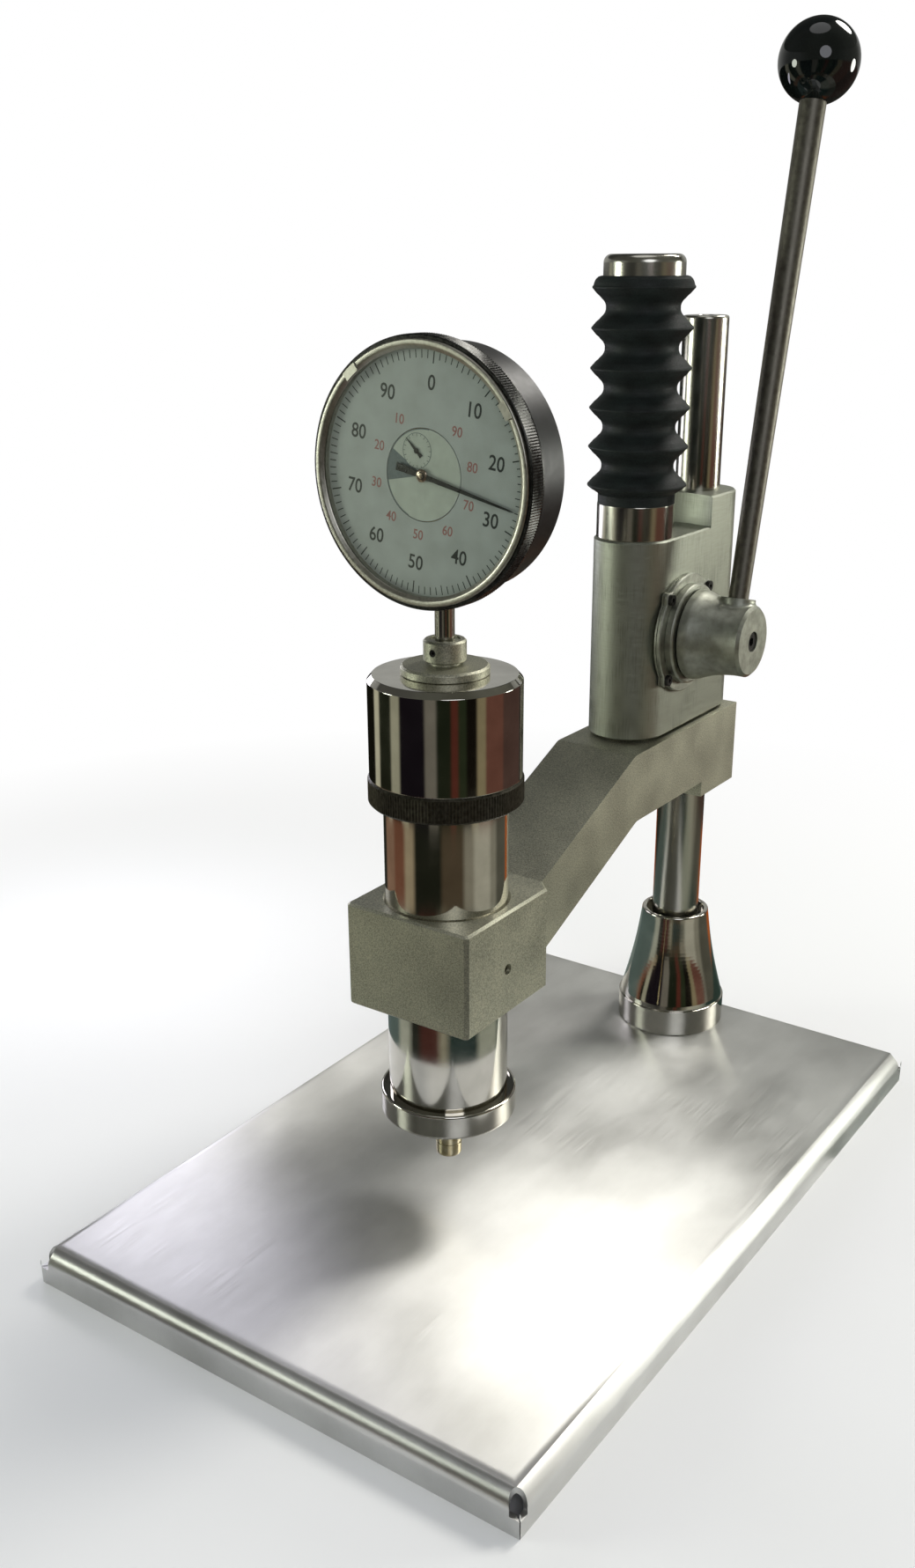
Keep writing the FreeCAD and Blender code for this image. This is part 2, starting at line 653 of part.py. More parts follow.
def make_flange():
    x0 = FLANGE_X0
    x1 = FLANGE_X1

    def outline(a, b, inset):
        disc = cyl_x(FLANGE_R - inset, a, b, PINION_Y, PINION_Z)
        s = FLANGE_SQUARE - inset
        square = box(a, b, PINION_Y - s, PINION_Y + s, PINION_Z - s, PINION_Z + s)
        square = square.common(cyl_x(FLANGE_CORNER_R - inset, a, b, PINION_Y, PINION_Z))
        return disc.fuse(square).removeSplitter()

    groove = x0 + FLANGE_GROOVE_X
    plate = outline(x0, x1, 0)
    plate = soften(plate, 0.5, lambda e: abs(e.CenterOfMass.x - x1) < 1e-6)
    band = outline(groove, groove + FLANGE_GROOVE_W, -1.0).cut(
        outline(groove, groove + FLANGE_GROOVE_W, FLANGE_GROOVE_D))
    plate = plate.cut(band)
    plate = plate.cut(cyl_x(SHAFT_R, x0 - 1, x1 + 1, PINION_Y, PINION_Z))
    screws = None
    for y, z in flange_screw_points():
        plate = plate.cut(cyl_x(FLANGE_SCREW_SHANK_R + RUN, x0 - 1, x1 + 1, y, z))
        screw = aim(cap_screw(FLANGE_SCREW_SHANK_R, FLANGE_SCREW_L, 2.6, 1.6, 2.0), V(x1, y, z), X)
        screws = screw if screws is None else screws.fuse(screw)
    keep("bearing_flange", plate)
    keep("flange_screws", screws)
    x2 = COVER_X1
    cover = turned_x([(SHAFT_R + FREE, x1), (COVER_R, x1), (COVER_R, x2 - 0.8),
                      (COVER_R - 0.8, x2), (SHAFT_R + FREE, x2)], PINION_Y, PINION_Z)
    keep("bearing_cover", cover)


# Ram with the rack cut into its rear, its cap, the spring and the bellows.

def make_ram():
    ram = turned([(0, RAM_SEAT_Z), (RAM_R - 0.6, RAM_SEAT_Z), (RAM_R, RAM_SEAT_Z + 0.6),
                  (RAM_R, RAM_TOP_Z), (0, RAM_TOP_Z)], 0, RAM_Y)
    tip_y = RACK_LINE_Y + MODULE
    root_y = RACK_LINE_Y - 1.25 * MODULE
    z_end = RACK_Z1
    ram = ram.cut(box(-RAM_R, RAM_R, tip_y, RAM_Y + RAM_R + 1, RACK_Z0, z_end))
    # A tooth of the rack stands level with the pinion's axis.
    first = PINION_Z - math.floor((PINION_Z - RACK_Z0) / RACK_PITCH) * RACK_PITCH
    lean = math.tan(PRESSURE_ANGLE)
    middle = first + RACK_PITCH / 2.0
    while middle + RACK_PITCH / 2.0 < z_end:
        half = RACK_PITCH / 4.0 + BACKLASH / 2.0
        a = half - 1.25 * MODULE * lean
        b = half + (MODULE + 0.5) * lean
        gap = [V(-RAM_R, root_y, middle - a), V(-RAM_R, root_y, middle + a),
               V(-RAM_R, tip_y + 0.5, middle + b), V(-RAM_R, tip_y + 0.5, middle - b)]
        ram = ram.cut(flat(gap, V(2 * RAM_R, 0, 0)))
        middle += RACK_PITCH
    ram = ram.cut(cyl(RAM_SCREW_R, RAM_SEAT_Z - 1, RAM_SEAT_Z + ARM_BOLT_L, 0, RAM_Y))
    ram = ram.cut(cyl(RAM_SCREW_R, RAM_TOP_Z - CAP_SCREW_L, RAM_TOP_Z + 1, 0, RAM_Y))
    keep("ram", ram.removeSplitter())

    cap = turned([(0, RAM_TOP_Z), (CAP_R, RAM_TOP_Z), (CAP_R, CAP_TOP_Z), (0, CAP_TOP_Z)], 0, RAM_Y)
    top = [e for e in cap.Edges if abs(e.CenterOfMass.z - CAP_TOP_Z) < 1e-6
           and e.BoundBox.ZLength < 1e-6]
    cap = cap.makeFillet(CAP_ROUND, top)
    sink = RAM_SCREW_HEAD_H + 0.5
    cap = cap.cut(cyl(RAM_SCREW_R + RUN, RAM_TOP_Z - 1, CAP_TOP_Z + 1, 0, RAM_Y))
    cap = cap.cut(cyl(RAM_SCREW_HEAD_R + FREE, CAP_TOP_Z - sink, CAP_TOP_Z + 1, 0, RAM_Y))
    keep("ram_cap", cap)
    screw = cap_screw(RAM_SCREW_R, CAP_SCREW_L, RAM_SCREW_HEAD_R, RAM_SCREW_HEAD_H, RAM_SCREW_KEY)
    screw = aim(screw, V(0, RAM_Y, CAP_TOP_Z - sink), Z)
    bolt = cap_screw(RAM_SCREW_R, ARM_BOLT_L, RAM_SCREW_HEAD_R, RAM_SCREW_HEAD_H, RAM_SCREW_KEY)
    bolt = aim(bolt, V(0, RAM_Y, ARM_LOW_Z + ARM_BOLT_SINK), -Z)
    keep("ram_screws", screw.fuse(bolt))


def make_bellows():
    outer = [(BELLOWS_END_R, RING_TOP_Z), (BELLOWS_END_R, RING_SPIGOT_Z)]
    for k in range(BELLOWS_RIDGES):
        z = BELLOWS_RIDGE_Z + k * BELLOWS_PITCH
        if k > 0:
            outer.append((BELLOWS_NECK_R, z - BELLOWS_PITCH / 2.0 + 1.9))
        outer.append((BELLOWS_R - 0.5, z - 0.6))
        outer.append((BELLOWS_R, z))
        if k < BELLOWS_RIDGES - 1:
            outer.append((BELLOWS_R - 0.5, z + 0.6))
            outer.append((BELLOWS_NECK_R, z + BELLOWS_PITCH / 2.0 - 1.9))
    outer.append((BELLOWS_R - 0.7, BELLOWS_RIDGE_Z + (BELLOWS_RIDGES - 1) * BELLOWS_PITCH + 2.0))
    outer.append((BELLOWS_R - 2.2, RAM_TOP_Z - 1.0))
    outer.append((BELLOWS_R - 3.6, RAM_TOP_Z))
    w = BELLOWS_WALL
    inner = [(RING_SPIGOT_R + RUN, RING_TOP_Z), (RING_SPIGOT_R + RUN, RING_SPIGOT_Z + FREE)]
    for k in range(BELLOWS_RIDGES):
        z = BELLOWS_RIDGE_Z + k * BELLOWS_PITCH
        if k > 0:
            inner.append((BELLOWS_NECK_R - w, z - BELLOWS_PITCH / 2.0 + 2.4))
        inner.append((BELLOWS_R - 1.7 * w, z))
        if k < BELLOWS_RIDGES - 1:
            inner.append((BELLOWS_NECK_R - w, z + BELLOWS_PITCH / 2.0 - 2.4))
    inner.append((BELLOWS_R - 1.9 - w, RAM_TOP_Z - 2.4))
    inner.append((SPRING_R + 2.4, RAM_TOP_Z - 1.6))
    inner.append((SPRING_R + 2.4, RAM_TOP_Z))
    keep("bellows", turned(outer + inner[::-1], 0, RAM_Y))


def coil(r, wire_r, z0, z1, turns, y):
    """A helical spring, swept along a chain of arcs through the helix."""
    pitch = (z1 - z0 - 2 * wire_r) / turns
    steps = 8

    def at(k):
        a = 2 * math.pi * k / steps
        return V(r * math.cos(a), r * math.sin(a), pitch * k / steps)

    arcs = []
    for k in range(turns * steps):
        arcs.append(Part.Arc(at(k), at(k + 0.5), at(k + 1)).toShape())
    slope = math.atan2(pitch, 2 * math.pi * r)
    start = Part.Wire(Part.makeCircle(wire_r, at(0), V(0, math.cos(slope), math.sin(slope))))
    body = Part.Wire(arcs).makePipeShell([start], True, True)
    body = Part.Solid(body) if body.ShapeType != "Solid" else body
    body.translate(V(0, y, z0 + wire_r))
    return body


def make_springs():
    keep("return_spring", coil(SPRING_R, SPRING_WIRE_R, SPRING_FLOOR_Z, RAM_TOP_Z, SPRING_TURNS, RAM_Y))
    keep("indenter_spring", coil(PRESS_SPRING_R, PRESS_WIRE_R, INDENTER_Z1 + COLLET_H, ROD_SEAT_Z0,
                                 PRESS_TURNS, HEAD_Y))


# Z-shaped arm, machined in one piece with the head block.

def make_arm():
    def top(y):
        return ARM_TOP_Z - (BEND_TOP_Y - y) * SLOPE

    def low(y):
        return ARM_LOW_Z - (BEND_LOW_Y - y) * SLOPE

    end_y = BLOCK_Y1 - BLOCK_CORNER
    side = [(ARM_REAR_Y, ARM_TOP_Z), (BEND_TOP_Y, ARM_TOP_Z), (end_y, top(end_y)),
            (end_y, low(end_y)), (BEND_LOW_Y, ARM_LOW_Z), (HEEL_Y, ARM_LOW_Z),
            (HEEL_Y, HEEL_Z), (ARM_REAR_Y, HEEL_Z)]
    points = [V(-ARM_HALF_W, y, z) for y, z in side]
    bar = flat(points, V(2 * ARM_HALF_W, 0, 0))
    bends = [e for e in bar.Edges if e.BoundBox.XLength > ARM_HALF_W and e.BoundBox.YLength < 1e-6
             and (abs(e.CenterOfMass.y - BEND_TOP_Y) < 1e-6
                  or abs(e.CenterOfMass.y - BEND_LOW_Y) < 1e-6)]
    bar = bar.makeFillet(BEND_ROUND, bends)
    block = box(-BLOCK_HALF_W, BLOCK_HALF_W, BLOCK_Y0, BLOCK_Y1, BLOCK_Z0, BLOCK_Z1)
    block = soften(block, BLOCK_CORNER, lambda e: e.BoundBox.ZLength > BLOCK_H / 2.0
                   and abs(e.CenterOfMass.y - BLOCK_Y1) < 1e-6)
    block = soften(block, 1.6, lambda e: e.BoundBox.ZLength > BLOCK_H / 2.0
                   and abs(e.CenterOfMass.y - BLOCK_Y0) < 1e-6)
    block = soften(block, 1.0, lambda e: e.BoundBox.ZLength < 1e-6)
    arm = bar.fuse(block).removeSplitter()
    arm = arm.cut(cyl(BARREL_R, BLOCK_Z0 - 1, BLOCK_Z1 + 1, 0, HEAD_Y))
    for z, d in ((BLOCK_Z1, -1.0), (BLOCK_Z0, 1.0)):
        lip = turned([(0, z + d), (BARREL_R, z + d), (BARREL_R + 1.0, z),
                      (BARREL_R + 1.0, z - d), (0, z - d)], 0, HEAD_Y)
        arm = arm.cut(lip)
    arm = arm.cut(cyl(COLUMN_BUSH_R, HEEL_Z - 1, ARM_TOP_Z + 1, 0, COL_Y))
    arm = arm.cut(cyl(RAM_R, RAM_SEAT_Z, ARM_TOP_Z + 1, 0, RAM_Y))
    arm = arm.cut(cyl(RAM_SCREW_R + RUN, ARM_LOW_Z - 1, ARM_TOP_Z, 0, RAM_Y))
    arm = arm.cut(cyl(RAM_SCREW_HEAD_R + FREE, ARM_LOW_Z - 1, ARM_LOW_Z + ARM_BOLT_SINK, 0, RAM_Y))
    arm = arm.cut(cyl_x(HEAD_SET_R, 0, BLOCK_HALF_W + 1, HEAD_Y, BLOCK_Z0 + HEAD_SET_UP))
    keep("arm", arm)

    grub = aim(grub_screw(HEAD_SET_R, BLOCK_WALL - 1.2, HEAD_SET_R),
               V(BARREL_R, HEAD_Y, BLOCK_Z0 + HEAD_SET_UP), X)
    keep("head_set_screw", grub)
    bush = turned([(COL_R + RUN, HEEL_Z), (COLUMN_BUSH_R, HEEL_Z), (COLUMN_BUSH_R, ARM_TOP_Z - 0.3),
                   (COL_R + RUN + 0.6, ARM_TOP_Z - 0.3), (COL_R + RUN, ARM_TOP_Z - 0.9)], 0, COL_Y)
    keep("column_bush", bush)


# Lever: conical hub on the pinion's end, tapered rod and ball knob.

def lever_axis():
    return V(0, math.sin(LEVER_LEAN), math.cos(LEVER_LEAN))


def make_lever():
    foot = V(LEVER_X, PINION_Y, PINION_Z)
    along = lever_axis()
    corners = [(HUB_R1, HUB_X1 - 1.4), (HUB_R1 - 1.4, HUB_X1), (0, HUB_X1), (0, HUB_X0),
               (HUB_R0 - 0.6, HUB_X0), (HUB_R0, HUB_X0 + 0.6), (HUB_R0 - 0.4, HUB_X0 + 4.0)]
    points = [V(x, PINION_Y, PINION_Z + r) for r, x in corners]
    edges = [Part.LineSegment(a, b).toShape() for a, b in zip(points, points[1:])]
    waist = V(HUB_X1 - HUB_WAIST_IN, PINION_Y, PINION_Z + HUB_WAIST_R)
    edges.append(Part.Arc(points[-1], waist, points[0]).toShape())
    hub = Part.Face(Part.Wire(edges)).revolve(points[2], X, 360)
    boss = aim(cyl(BOSS_R, 0, BOSS_TOP), foot, along)
    hub = hub.fuse(boss).removeSplitter()

    def joins_boss(e):
        if e.Closed:
            return False
        v = e.valueAt((e.FirstParameter + e.LastParameter) / 2.0) - foot
        height = v.dot(along)
        off = (v - along * height).Length
        return abs(off - BOSS_R) < 0.05 and 5.0 < height < BOSS_TOP - 0.2

    hub = blend(hub, HUB_BLEND, joins_boss)
    seat_x = HUB_X1 - HUB_SCREW_IN
    hub = hub.cut(cyl_x(SHAFT_R - RUN, HUB_X0 - 1, SHAFT_END_X, PINION_Y, PINION_Z))
    hub = hub.cut(cyl_x(HUB_SCREW_R + RUN, HUB_X0, HUB_X1 + 1, PINION_Y, PINION_Z))
    hub = hub.cut(cyl_x(HUB_SCREW_HEAD_R + FREE, seat_x, HUB_X1 + 1, PINION_Y, PINION_Z))
    hub = hub.cut(aim(cyl(ROD_R0, ROD_FOOT, BOSS_TOP + 1), foot, along))
    keep("lever_hub", hub)
    screw = cap_screw(HUB_SCREW_R, HUB_SCREW_L - 1, HUB_SCREW_HEAD_R, HUB_SCREW_IN - 0.8, HUB_SCREW_IN)
    keep("hub_screw", aim(screw, V(seat_x, PINION_Y, PINION_Z), X))

    r_end = ROD_R1
    at = KNOB_AT - KNOB_FLAT
    rod = turned([(0, ROD_FOOT), (ROD_R0 - 0.5, ROD_FOOT), (ROD_R0, ROD_FOOT + 0.5),
                  (ROD_R0, BOSS_TOP), (r_end, at), (KNOB_STUD_R, at),
                  (KNOB_STUD_R, at + KNOB_STUD_L - 1), (KNOB_STUD_R - 1, at + KNOB_STUD_L),
                  (0, at + KNOB_STUD_L)])
    keep("lever_rod", aim(rod, foot, along))
    ball = Part.makeSphere(KNOB_R, V(0, 0, KNOB_AT))
    ball = ball.cut(cyl(KNOB_R + 1, KNOB_AT - KNOB_R - 5, at))
    ball = ball.cut(cyl(KNOB_STUD_R, at - 1, at + KNOB_STUD_L + FREE))
    keep("lever_knob", aim(ball, foot, along))


# Measuring head: barrel, nose, lock ring, cap, and the sprung indenter inside.

def make_head():
    tube = turned([(BARREL_IN_R, BARREL_Z0), (BARREL_R - 2.0, BARREL_Z0), (BARREL_R - 2.0, NOSE_Z1 - 0.8),
                   (BARREL_R, NOSE_Z1 - 0.8), (BARREL_R, BARREL_Z1), (BARREL_IN_R, BARREL_Z1)], 0, HEAD_Y)
    keep("head_barrel", tube)

    guide = INDENTER_R + RUN
    nose = turned([(guide + 0.8, NOSE_Z0), (NOSE_R - 1.2, NOSE_Z0), (NOSE_R, NOSE_Z0 + 1.2),
                   (NOSE_R, NOSE_Z1 - 1.0), (NOSE_R - 1.0, NOSE_Z1), (NOSE_R - 1.8, NOSE_Z1),
                   (NOSE_R - 1.8, NOSE_Z1 - 0.8), (BARREL_R - 2.0, NOSE_Z1 - 0.8),
                   (BARREL_R - 2.0, BARREL_Z0), (guide, BARREL_Z0), (guide, NOSE_Z0 + 0.8)], 0, HEAD_Y)
    keep("nose_ring", nose)

    z2 = INDENTER_Z1
    tip = turned([(0, INDENTER_Z0), (INDENTER_R - 1.6, INDENTER_Z0), (INDENTER_R - 0.6, INDENTER_Z0 + 0.5),
                  (INDENTER_R, INDENTER_Z0 + 1.6), (INDENTER_R, z2), (0, z2)], 0, HEAD_Y)
    keep("indenter", tip)
    rod = turned([(0, z2), (COLLET_R, z2), (COLLET_R, z2 + COLLET_H), (PUSH_ROD_R, z2 + COLLET_H),
                  (PUSH_ROD_R, PUSH_ROD_Z1 - 1), (PUSH_ROD_R - 1, PUSH_ROD_Z1), (0, PUSH_ROD_Z1)],
                 0, HEAD_Y)
    keep("push_rod", rod)
    discs = []
    for z, t in ((ROD_SEAT_Z0, ROD_SEAT_T), (ROD_GUIDE_Z0, ROD_GUIDE_T)):
        disc = cyl(BARREL_IN_R, z, z + t, 0, HEAD_Y)
        discs.append(disc.cut(cyl(PUSH_ROD_R + RUN, z - 1, z + t + 1, 0, HEAD_Y)))
    keep("push_rod_guides", discs[0].fuse(discs[1]))

    ring = turned([(BARREL_R, LOCK_Z0), (LOCK_R - 0.6, LOCK_Z0), (LOCK_R, LOCK_Z0 + 0.6),
                   (LOCK_R, LOCK_Z1 - 0.6), (LOCK_R - 0.6, LOCK_Z1), (BARREL_R, LOCK_Z1)], 0, HEAD_Y)
    keep("lock_ring", ring)

    z1 = HEAD_TOP_Z
    cap = turned([(BARREL_R, LOCK_Z1), (HEAD_CAP_R - 0.4, LOCK_Z1), (HEAD_CAP_R, LOCK_Z1 + 0.4),
                  (HEAD_CAP_R, z1 - HEAD_BEVEL_H), (HEAD_BEVEL_R, z1), (NECK_R, z1),
                  (NECK_R, z1 - NECK_IN), (HEAD_HOLLOW_R, z1 - NECK_IN), (HEAD_HOLLOW_R, BARREL_Z1),
                   (BARREL_R, BARREL_Z1)],
                 0, HEAD_Y)
    keep("head_cap", cap)


# Gauge holder: disc with a slotted neck, clamped on the stem by a collar.

def make_holder():
    z0 = HEAD_TOP_Z
    z1 = z0 + DISC_T
    low = z0 - NECK_IN
    body = turned([(STEM_R, low), (NECK_R, low), (NECK_R, z0), (DISC_R - 0.3, z0),
                   (DISC_R, z0 + 0.3), (DISC_R, z1 - 0.9), (DISC_R - 0.9, z1), (NECK_R, z1),
                   (NECK_R, COLLAR_Z1 - 0.6), (STEM_R, COLLAR_Z1 - 0.6)], 0, HEAD_Y)
    reach = NECK_R + 1.0
    half = NECK_SLOT / 2.0
    slot = box(-half, half, HEAD_Y - reach, HEAD_Y + reach, z1 + 1.0, COLLAR_Z1 + 1)
    cross = box(-reach, reach, HEAD_Y - half, HEAD_Y + half, z1 + 1.0, COLLAR_Z1 + 1)
    keep("gauge_holder", body.cut(slot).cut(cross))

    collar = turned([(NECK_R, COLLAR_Z0), (COLLAR_R - 0.5, COLLAR_Z0), (COLLAR_R, COLLAR_Z0 + 0.5),
                     (COLLAR_R, COLLAR_Z1 - 0.8), (COLLAR_R - 0.8, COLLAR_Z1), (NECK_R, COLLAR_Z1)],
                    0, HEAD_Y)
    mid = (COLLAR_Z0 + COLLAR_Z1) / 2.0
    hole = Part.makeCylinder(1.5, COLLAR_R, V(0, HEAD_Y - NECK_R + 0.5, mid), -Y)
    collar = collar.cut(hole)
    keep("clamp_collar", collar)
    keep("collar_screw", aim(grub_screw(1.5, 2.0, 1.5), V(0, HEAD_Y - NECK_R, mid), -Y))


# Dial gauge, facing -Y.

def make_gauge():
    z = DIAL_Z
    rim = CASE_R
    stem_z1 = z - rim + CASE_WALL
    inside = CASE_Y1 - CASE_BACK_T
    can = turned_y([(0, CASE_Y1), (rim, CASE_Y1), (rim, CASE_Y0), (rim - CASE_WALL, CASE_Y0),
                    (rim - CASE_WALL, inside), (0, inside)], 0, z)
    boss = cyl(STEM_R + 3.0, z - rim - 4.0, z - rim + 3.0, 0, HEAD_Y)
    boss = boss.cut(cyl_y(rim - CASE_WALL, CASE_Y0, CASE_Y1, 0, z))
    can = can.fuse(boss).cut(cyl(STEM_R, z - rim - 6.0, z - rim + 8.0, 0, HEAD_Y))
    can = can.cut(cyl_y(CASE_HATCH_R, inside - 1, CASE_Y1 + 1, 0, z))

    back = turned_y([(0, CASE_Y1), (BACK_R, CASE_Y1), (BACK_R, CASE_Y1 + 1.2), (BACK_R - 1, CASE_Y1 + 2.0),
                     (0, CASE_Y1 + 2.0)], 0, z)
    screws = None
    for k in range(4):
        a = math.radians(45 + 90 * k)
        x = BACK_SCREWS_R * math.cos(a)
        dz = BACK_SCREWS_R * math.sin(a)
        back = back.cut(cyl_y(1.0, CASE_Y1 - 1, CASE_Y1 + 3, x, z + dz))
        s = aim(cap_screw(1.0, 4.0, 1.7, 0.9, 1.1), V(x, CASE_Y1 + 2.0, z + dz), Y)
        screws = s if screws is None else screws.fuse(s)
        can = can.cut(cyl_y(1.0, CASE_Y1 - 3, CASE_Y1, x, z + dz))
    keep("gauge_case", can.removeSplitter())
    keep("gauge_back", back)
    keep("gauge_back_screws", screws)

    low = HEAD_TOP_Z - NECK_IN
    stem = turned([(SPINDLE_R + RUN, low), (STEM_R, low), (STEM_R, stem_z1), (SPINDLE_R + RUN, stem_z1)],
                  0, HEAD_Y)
    keep("gauge_stem", stem)
    spindle = turned([(0, PUSH_ROD_Z1), (1.0, PUSH_ROD_Z1 + 0.2), (SPINDLE_R, PUSH_ROD_Z1 + 1.2),
                      (SPINDLE_R, z + SPINDLE_REACH), (0, z + SPINDLE_REACH)], 0, HEAD_Y)
    keep("gauge_spindle", spindle)

    plate = cyl_y(CASE_R - CASE_WALL - FREE, PLATE_Y0, PLATE_Y1, 0, z)
    plate = plate.cut(cyl_y(ARBOR_R + RUN, PLATE_Y0 - 1, PLATE_Y1 + 1, 0, z))
    plate = plate.cut(cyl_y(SMALL_ARBOR_R + RUN, PLATE_Y0 - 1, PLATE_Y1 + 1, SMALL_X, SMALL_Z))
    pillars = None
    for k in range(3):
        a = math.radians(120 * k)
        x = PILLARS_R * math.cos(a)
        dz = PILLARS_R * math.sin(a)
        p = cyl_y(2.2, PLATE_Y1, CASE_Y1, x, z + dz)
        pillars = p if pillars is None else pillars.fuse(p)
    keep("movement_plate", plate.fuse(pillars).removeSplitter())

    bore = ARBOR_R + FREE
    tube_r = bore + 2.7
    centre = turned_y([(bore, FACE_Y), (CENTRE_R, FACE_Y), (CENTRE_R, FACE_BACK_Y), (tube_r, FACE_BACK_Y),
                       (tube_r, PLATE_Y0), (bore, PLATE_Y0)], 0, z)
    centre = centre.cut(cyl_y(SMALL_ARBOR_R + FREE, FACE_Y - 1, FACE_BACK_Y + 1, SMALL_X, SMALL_Z))
    keep("dial_centre", centre)
    ring = turned_y([(CENTRE_R + CENTRE_GAP, FACE_Y), (FACE_R, FACE_Y), (FACE_R, FACE_BACK_Y),
                     (CENTRE_R + CENTRE_GAP, FACE_BACK_Y)], 0, z)
    keep("dial_ring", ring)


def make_bezel():
    z = DIAL_Z
    lip = CASE_Y0 - CENTRE_GAP
    wall = CASE_R - CASE_WALL - FREE
    seat = BEZEL_Y0 + 1.6
    rim = turned_y([(BEZEL_R, BEZEL_Y0 + 0.5), (BEZEL_R, BEZEL_Y1 - 0.4), (BEZEL_R - 0.6, BEZEL_Y1),
                    (CASE_R + RUN, BEZEL_Y1), (CASE_R + RUN, lip), (wall, lip), (wall, FACE_BACK_Y),
                    (FACE_R, FACE_BACK_Y), (FACE_R, seat), (SILVER_R, seat), (SILVER_R, BEZEL_Y0),
                    (BEZEL_R - 0.4, BEZEL_Y0)], 0, z)
    keep("bezel", rim)
    silver = turned_y([(SILVER_R, seat), (SILVER_R, SILVER_Y0 + 0.4), (SILVER_R - 0.5, SILVER_Y0),
                       (OPENING_R + 1.6, SILVER_Y0), (OPENING_R, CRYSTAL_Y0 - 0.1), (OPENING_R, CRYSTAL_Y0),
                       (FACE_R, CRYSTAL_Y0), (FACE_R, seat)], 0, z)
    keep("bezel_ring", silver)
    keep("crystal", cyl_y(FACE_R, CRYSTAL_Y0, CRYSTAL_Y1, 0, z))
    inner = OPENING_R + 0.2
    spacer = turned_y([(FACE_R, CRYSTAL_Y1), (FACE_R, FACE_Y), (inner, FACE_Y), (inner, CRYSTAL_Y1)], 0, z)
    keep("crystal_spacer", spacer)


def pointer_outline(tip, tail, wide, narrow, turn, x, y, z):
    local = [(-narrow / 2.0, tip - 2.0), (0, tip), (narrow / 2.0, tip - 2.0), (wide / 2.0, 1.0),
             (wide / 2.0, -1.0), (wide * 0.75, -tail), (-wide * 0.75, -tail),
             (-wide / 2.0, -1.0), (-wide / 2.0, 1.0)]
    out = []
    for a, b in local:
        px = x + a * math.cos(turn) + b * math.sin(turn)
        pz = z - a * math.sin(turn) + b * math.cos(turn)
        out.append(V(px, y, pz))
    return out


def make_pointers():
    z = DIAL_Z
    low = FACE_Y - 1.0
    blade = flat(pointer_outline(POINTER_TIP, POINTER_TAIL, 2.0, 0.7, POINTER_TURN, 0, low - 0.3, z),
                 V(0, 0.3, 0))
    hub = turned_y([(0, low - 0.9), (1.4, low - 0.8), (2.4, low - 0.4), (2.5, low - 0.3), (2.5, low),
                    (0, low)], 0, z)
    arbor = cyl_y(ARBOR_R, low, PLATE_Y1 + 1.0, 0, z)
    keep("pointer", blade.fuse(hub).fuse(arbor).removeSplitter())

    low = FACE_Y - 0.35
    blade = flat(pointer_outline(SMALL_TIP, 3.0, 1.0, 0.4, SMALL_TURN, SMALL_X, low - 0.25, SMALL_Z),
                 V(0, 0.25, 0))
    hub = cyl_y(1.0, low - 0.4, low, SMALL_X, SMALL_Z)
    arbor = cyl_y(SMALL_ARBOR_R, low, PLATE_Y1 + 0.6, SMALL_X, SMALL_Z)
    keep("small_pointer", blade.fuse(hub).fuse(arbor).removeSplitter())


def make_markers():
    z = DIAL_Z
    y0 = MARKER_Y
    y1 = MARKER_Y + MARKER_T
    names = ("tolerance_marker_low", "tolerance_marker_high")
    for name, turn in zip(names, MARKER_TURNS):
        arc = turned_y([(OPENING_R, y0), (SILVER_R - 0.3, y0), (SILVER_R - 0.3, y1), (OPENING_R, y1)], 0, z)
        far = 1.2 * SILVER_R
        rays = [V(far * math.sin(turn + a), y0 - 1, z + far * math.cos(turn + a)) for a in (-0.07, 0.07)]
        wedge = flat([V(0, y0 - 1, z)] + rays, V(0, MARKER_T + 2, 0))
        tongue = flat(pointer_outline(OPENING_R + 0.7, -MARKER_IN, 3.4, 3.4, turn, 0, y0, z), V(0, MARKER_T, 0))
        tongue = tongue.cut(cyl_y(MARKER_IN, y0 - 1, y1 + 1, 0, z))
        keep(name, arc.common(wedge).fuse(tongue).removeSplitter())


make_base()
make_column()
make_housing()
make_pinion()
make_flange()
make_ram()
make_bellows()
make_springs()
make_arm()
make_lever()
make_head()
make_holder()
make_gauge()
make_bezel()
make_pointers()
make_markers()

os.makedirs("parts", exist_ok=True)
for name in sorted(parts):
    shape = parts[name]
    if not shape.isValid():
        print("not valid:", name)
    shape.exportStep("parts/" + name + ".step")
    print(name, shape.ShapeType, len(shape.Solids), round(shape.Volume, 1))
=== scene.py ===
# %% [markdown]
# A bench durometer: a dial gauge head on a Z-shaped steel arm. A hand lever turns a pinion, the
# pinion pushes a rack ram down, and the arm under the ram brings the head down on the specimen.
# The solids come from CAD as a fixed frame. This script dresses them: pieces whose shape is right
# keep it and get a finish, and pieces that want rounder or finer forms get a mesh of their own.

# %% Load the frame
import json
import math

import bmesh
import bpy
from mathutils import Matrix, Vector


